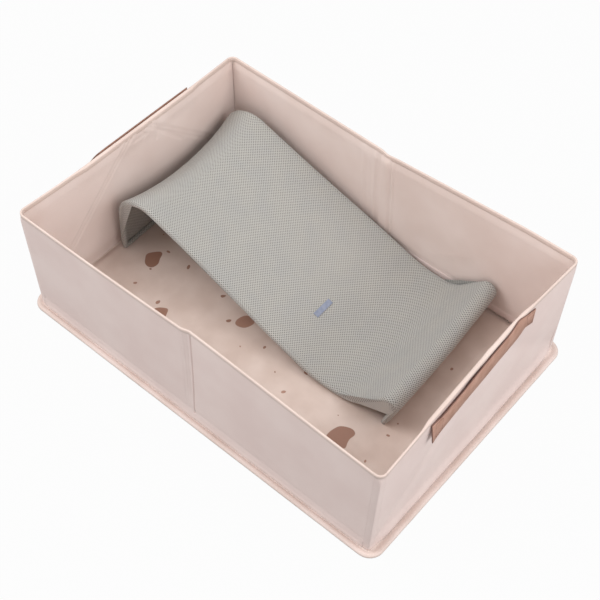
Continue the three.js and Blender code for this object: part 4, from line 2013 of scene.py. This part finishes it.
        piece = weave(
            f"seat_sleeve_cloth_{side.name.lower()}",
            route.lengths,
            around(count),
            place,
            ring_up=True,
            capped=True,
        )
        for loop in piece.data.uv_layers["cloth"].data:
            loop.uv[1] *= 2.0 * math.pi * self.sleeve / count
        return piece

    def build_wrap(self, index: int, name: str) -> bpy.types.Object:
        """Builds the cloth wrapped round a cross bar.

        Args:
            index: the route's point at the bar, first or last.
            name: the piece's name.

        Returns:
            The wrap.
        """
        count = self.round_steps
        half = self.across(self.route.points[index].x) - 2.0

        def place(y: float, k: float) -> Vector:
            """Puts a point of the wrap round the bar."""
            turn = 2.0 * math.pi * (k / count)
            away = Vector((math.cos(turn), 0.0, math.sin(turn))) * self.wrap
            middle = self.route.points[index]
            x = middle.x - y * self.askew(middle.x)
            return self.settle_seat @ (Vector((x, y, middle.y)) + away)

        piece = weave(
            name, stations((-half, half, 8.0)), around(count), place, ring_up=True, capped=True
        )
        for loop in piece.data.uv_layers["cloth"].data:
            loop.uv[1] *= 2.0 * math.pi * self.wrap / count
        return piece

    def build_tab(self) -> bpy.types.Object:
        """Builds the small sewn tab, left blank.

        Returns:
            The tab.
        """
        route = self.route
        near = min(range(len(route.points)), key=lambda i: abs(route.points[i].x - self.tab_x))
        t0 = route.lengths[near]

        def place(step: float, share: float) -> Vector:
            """Puts a point of the tab on the sling."""
            edge = self.across(self.tab_x) - self.sling_inset
            hang = self.sag(t0 + step) * (1.0 - share * share)
            middle, away = route.points[near], route.normals[near]
            ahead = Vector((away.y, -away.x))
            lap = 0.35 * smooth(3.2, 5.2, abs(step))
            flat = middle + ahead * step + away * (self.lift - hang + 1.55 - lap)
            return self.settle_seat @ Vector((flat.x, share * edge, flat.y))

        half = self.tab_width / 2.0
        tab = weave(
            "seat_blank_tab",
            stations((-half, half, 0.8)),
            stations((self.tab_from, self.tab_to, 0.01)),
            place,
            Vector((0.2, 0.0, 1.0)),
        )
        thicken(tab, self.tab_thick)
        return tab

    def dress(self) -> None:
        """Builds the seat's pieces and settles each one."""
        body = "bath_seat"
        sling = settle(self.build_sling(), SEAT_MESH, body, ["seat_sling"])
        for side in Side:
            node = f"seat_sleeve_{side.name.lower()}"
            settle(self.build_sleeve(side), SEAT_MESH, body, [node])
        settle(self.build_wrap(0, "seat_head_wrap"), SEAT_MESH, body)
        settle(self.build_wrap(-1, "seat_foot_wrap"), SEAT_MESH, body)
        tab = settle(self.build_tab(), TAPE, body, ["seat_tab"])


@dataclass
class StiffParts:
    """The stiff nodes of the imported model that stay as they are, given their finishes."""

    boards: tuple[str, ...] = ("base_board_left", "base_board_right")
    wires: tuple[str, ...] = (
        "seat_wire_front",
        "seat_wire_back",
        "seat_head_bar",
        "seat_foot_bar",
    )

    def dress(self) -> None:
        """Gives each stiff node its material."""
        for names, finish in ((self.boards, BOARD), (self.wires, STEEL)):
            for name in names:
                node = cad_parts[name]
                node.data.materials.clear()
                node.data.materials.append(finish.material())
                LOG.info("%s: %s", name, finish.name)


@dataclass(frozen=True)
class Lamp:
    """A square soft lamp that looks at the origin."""

    name: str
    place: tuple[float, float, float]
    power: float
    size: float

    def hang(self) -> None:
        """Adds the lamp to the scene."""
        data = bpy.data.lights.new(self.name, "AREA")
        data.shape = "SQUARE"
        data.size = self.size
        data.energy = self.power
        lamp = bpy.data.objects.new(self.name, data)
        start = Vector(self.place)
        turn = UP.rotation_difference(start)
        lamp.matrix_world = Matrix.Translation(start) @ turn.to_matrix().to_4x4()
        bpy.context.scene.collection.objects.link(lamp)


@dataclass
class Studio:
    """The camera, the pale floor and the soft light."""

    place: tuple[float, float, float] = (0.840218, -1.000892, 1.764505)
    azimuth: float = 39.6124
    elevation: float = 52.2430
    roll: float = 1.0822
    lens: float = 72.97
    floor_half: float = 6.0
    floor_drop: float = 0.0004
    glow_share: float = 0.965
    world_level: float = 0.83
    lamps: tuple[Lamp, ...] = (
        Lamp("soft_key", (1.9, 0.3, 1.6), 24.0, 1.2),
        Lamp("soft_fill", (-1.2, -1.1, 2.2), 33.0, 1.5),
    )

    def set_camera(self) -> None:
        """Puts the camera at the photograph's angle."""
        a, e, r = (math.radians(v) for v in (self.azimuth, self.elevation, self.roll))
        level = Vector((math.cos(a), math.sin(a), 0.0))
        back = Vector((math.sin(a) * math.cos(e), -math.cos(a) * math.cos(e), math.sin(e)))
        upright = back.cross(level)
        right = level * math.cos(r) + upright * math.sin(r)
        up = -level * math.sin(r) + upright * math.cos(r)
        data = bpy.data.cameras.new("photo_camera")
        data.lens = self.lens
        data.sensor_width = 36.0
        data.clip_end = 50.0
        camera = bpy.data.objects.new("photo_camera", data)
        camera.matrix_world = Matrix.Translation(self.place) @ Matrix(
            (
                (right.x, up.x, back.x, 0.0),
                (right.y, up.y, back.y, 0.0),
                (right.z, up.z, back.z, 0.0),
                (0.0, 0.0, 0.0, 1.0),
            )
        )
        bpy.context.scene.collection.objects.link(camera)
        bpy.context.scene.camera = camera

    def lay_floor(self) -> None:
        """Lays the pale floor, which keeps a faint shadow."""
        mesh = bmesh.new()
        bmesh.ops.create_grid(mesh, x_segments=1, y_segments=1, size=self.floor_half)
        bmesh.ops.translate(mesh, vec=Vector((0.0, 0.0, -self.floor_drop)), verts=mesh.verts)
        floor = link_piece("studio_floor", mesh)
        paper = bpy.data.materials.new("studio_paper")
        paper.use_nodes = True
        tree = paper.node_tree
        tree.nodes.clear()
        matt = add_node(tree, "BsdfDiffuse", {"Color": (0.3, 0.3, 0.3, 1.0)})
        glow = add_node(tree, "Emission", {"Color": (1.0, 1.0, 1.0, 1.0)})
        seen = add_node(tree, "LightPath").outputs["Is Camera Ray"]
        share = maths(tree, "MULTIPLY", seen, self.glow_share)
        both = add_node(tree, "MixShader", {0: share, 1: matt.outputs[0], 2: glow.outputs[0]})
        add_node(tree, "OutputMaterial", {"Surface": both.outputs[0]})
        floor.data.materials.append(paper)

    def set_light(self) -> None:
        """Lights the scene with a pale world and soft lamps."""
        scene = bpy.context.scene
        world = bpy.data.worlds.new("studio_world")
        scene.world = world
        world.use_nodes = True
        tree = world.node_tree
        tree.nodes.clear()
        seen = add_node(tree, "LightPath").outputs["Is Camera Ray"]
        level = add_node(
            tree, "Mix", {"data_type": "FLOAT", 0: seen, 2: self.world_level, 3: 1.0}
        )
        sky = add_node(
            tree, "Background", {"Color": (1.0, 1.0, 1.0, 1.0), "Strength": level.outputs[0]}
        )
        add_node(tree, "OutputWorld", {"Surface": sky.outputs[0]})
        for lamp in self.lamps:
            lamp.hang()
        scene.view_settings.view_transform = "Standard"

    def dress(self) -> None:
        """Sets up the camera, the floor and the light."""
        self.set_camera()
        self.lay_floor()
        self.set_light()


def main() -> None:
    """Builds the tub, its seat and the studio in order."""
    Studio().dress()
    StiffParts().dress()
    Base().dress()
    for side in Side:
        LongWall(WALLS[side]).dress()
    EndWall(LEFT_FORM, LEFT_STRAP).dress()
    EndWall(RIGHT_FORM, RIGHT_STRAP, pinch=2.2).dress()
    for side in Side:
        for end in End:
            Corner(side, end).dress()
    BathSeat().dress()


if __name__ == "__main__":
    logging.basicConfig(level=logging.INFO, format="%(message)s")
    main()
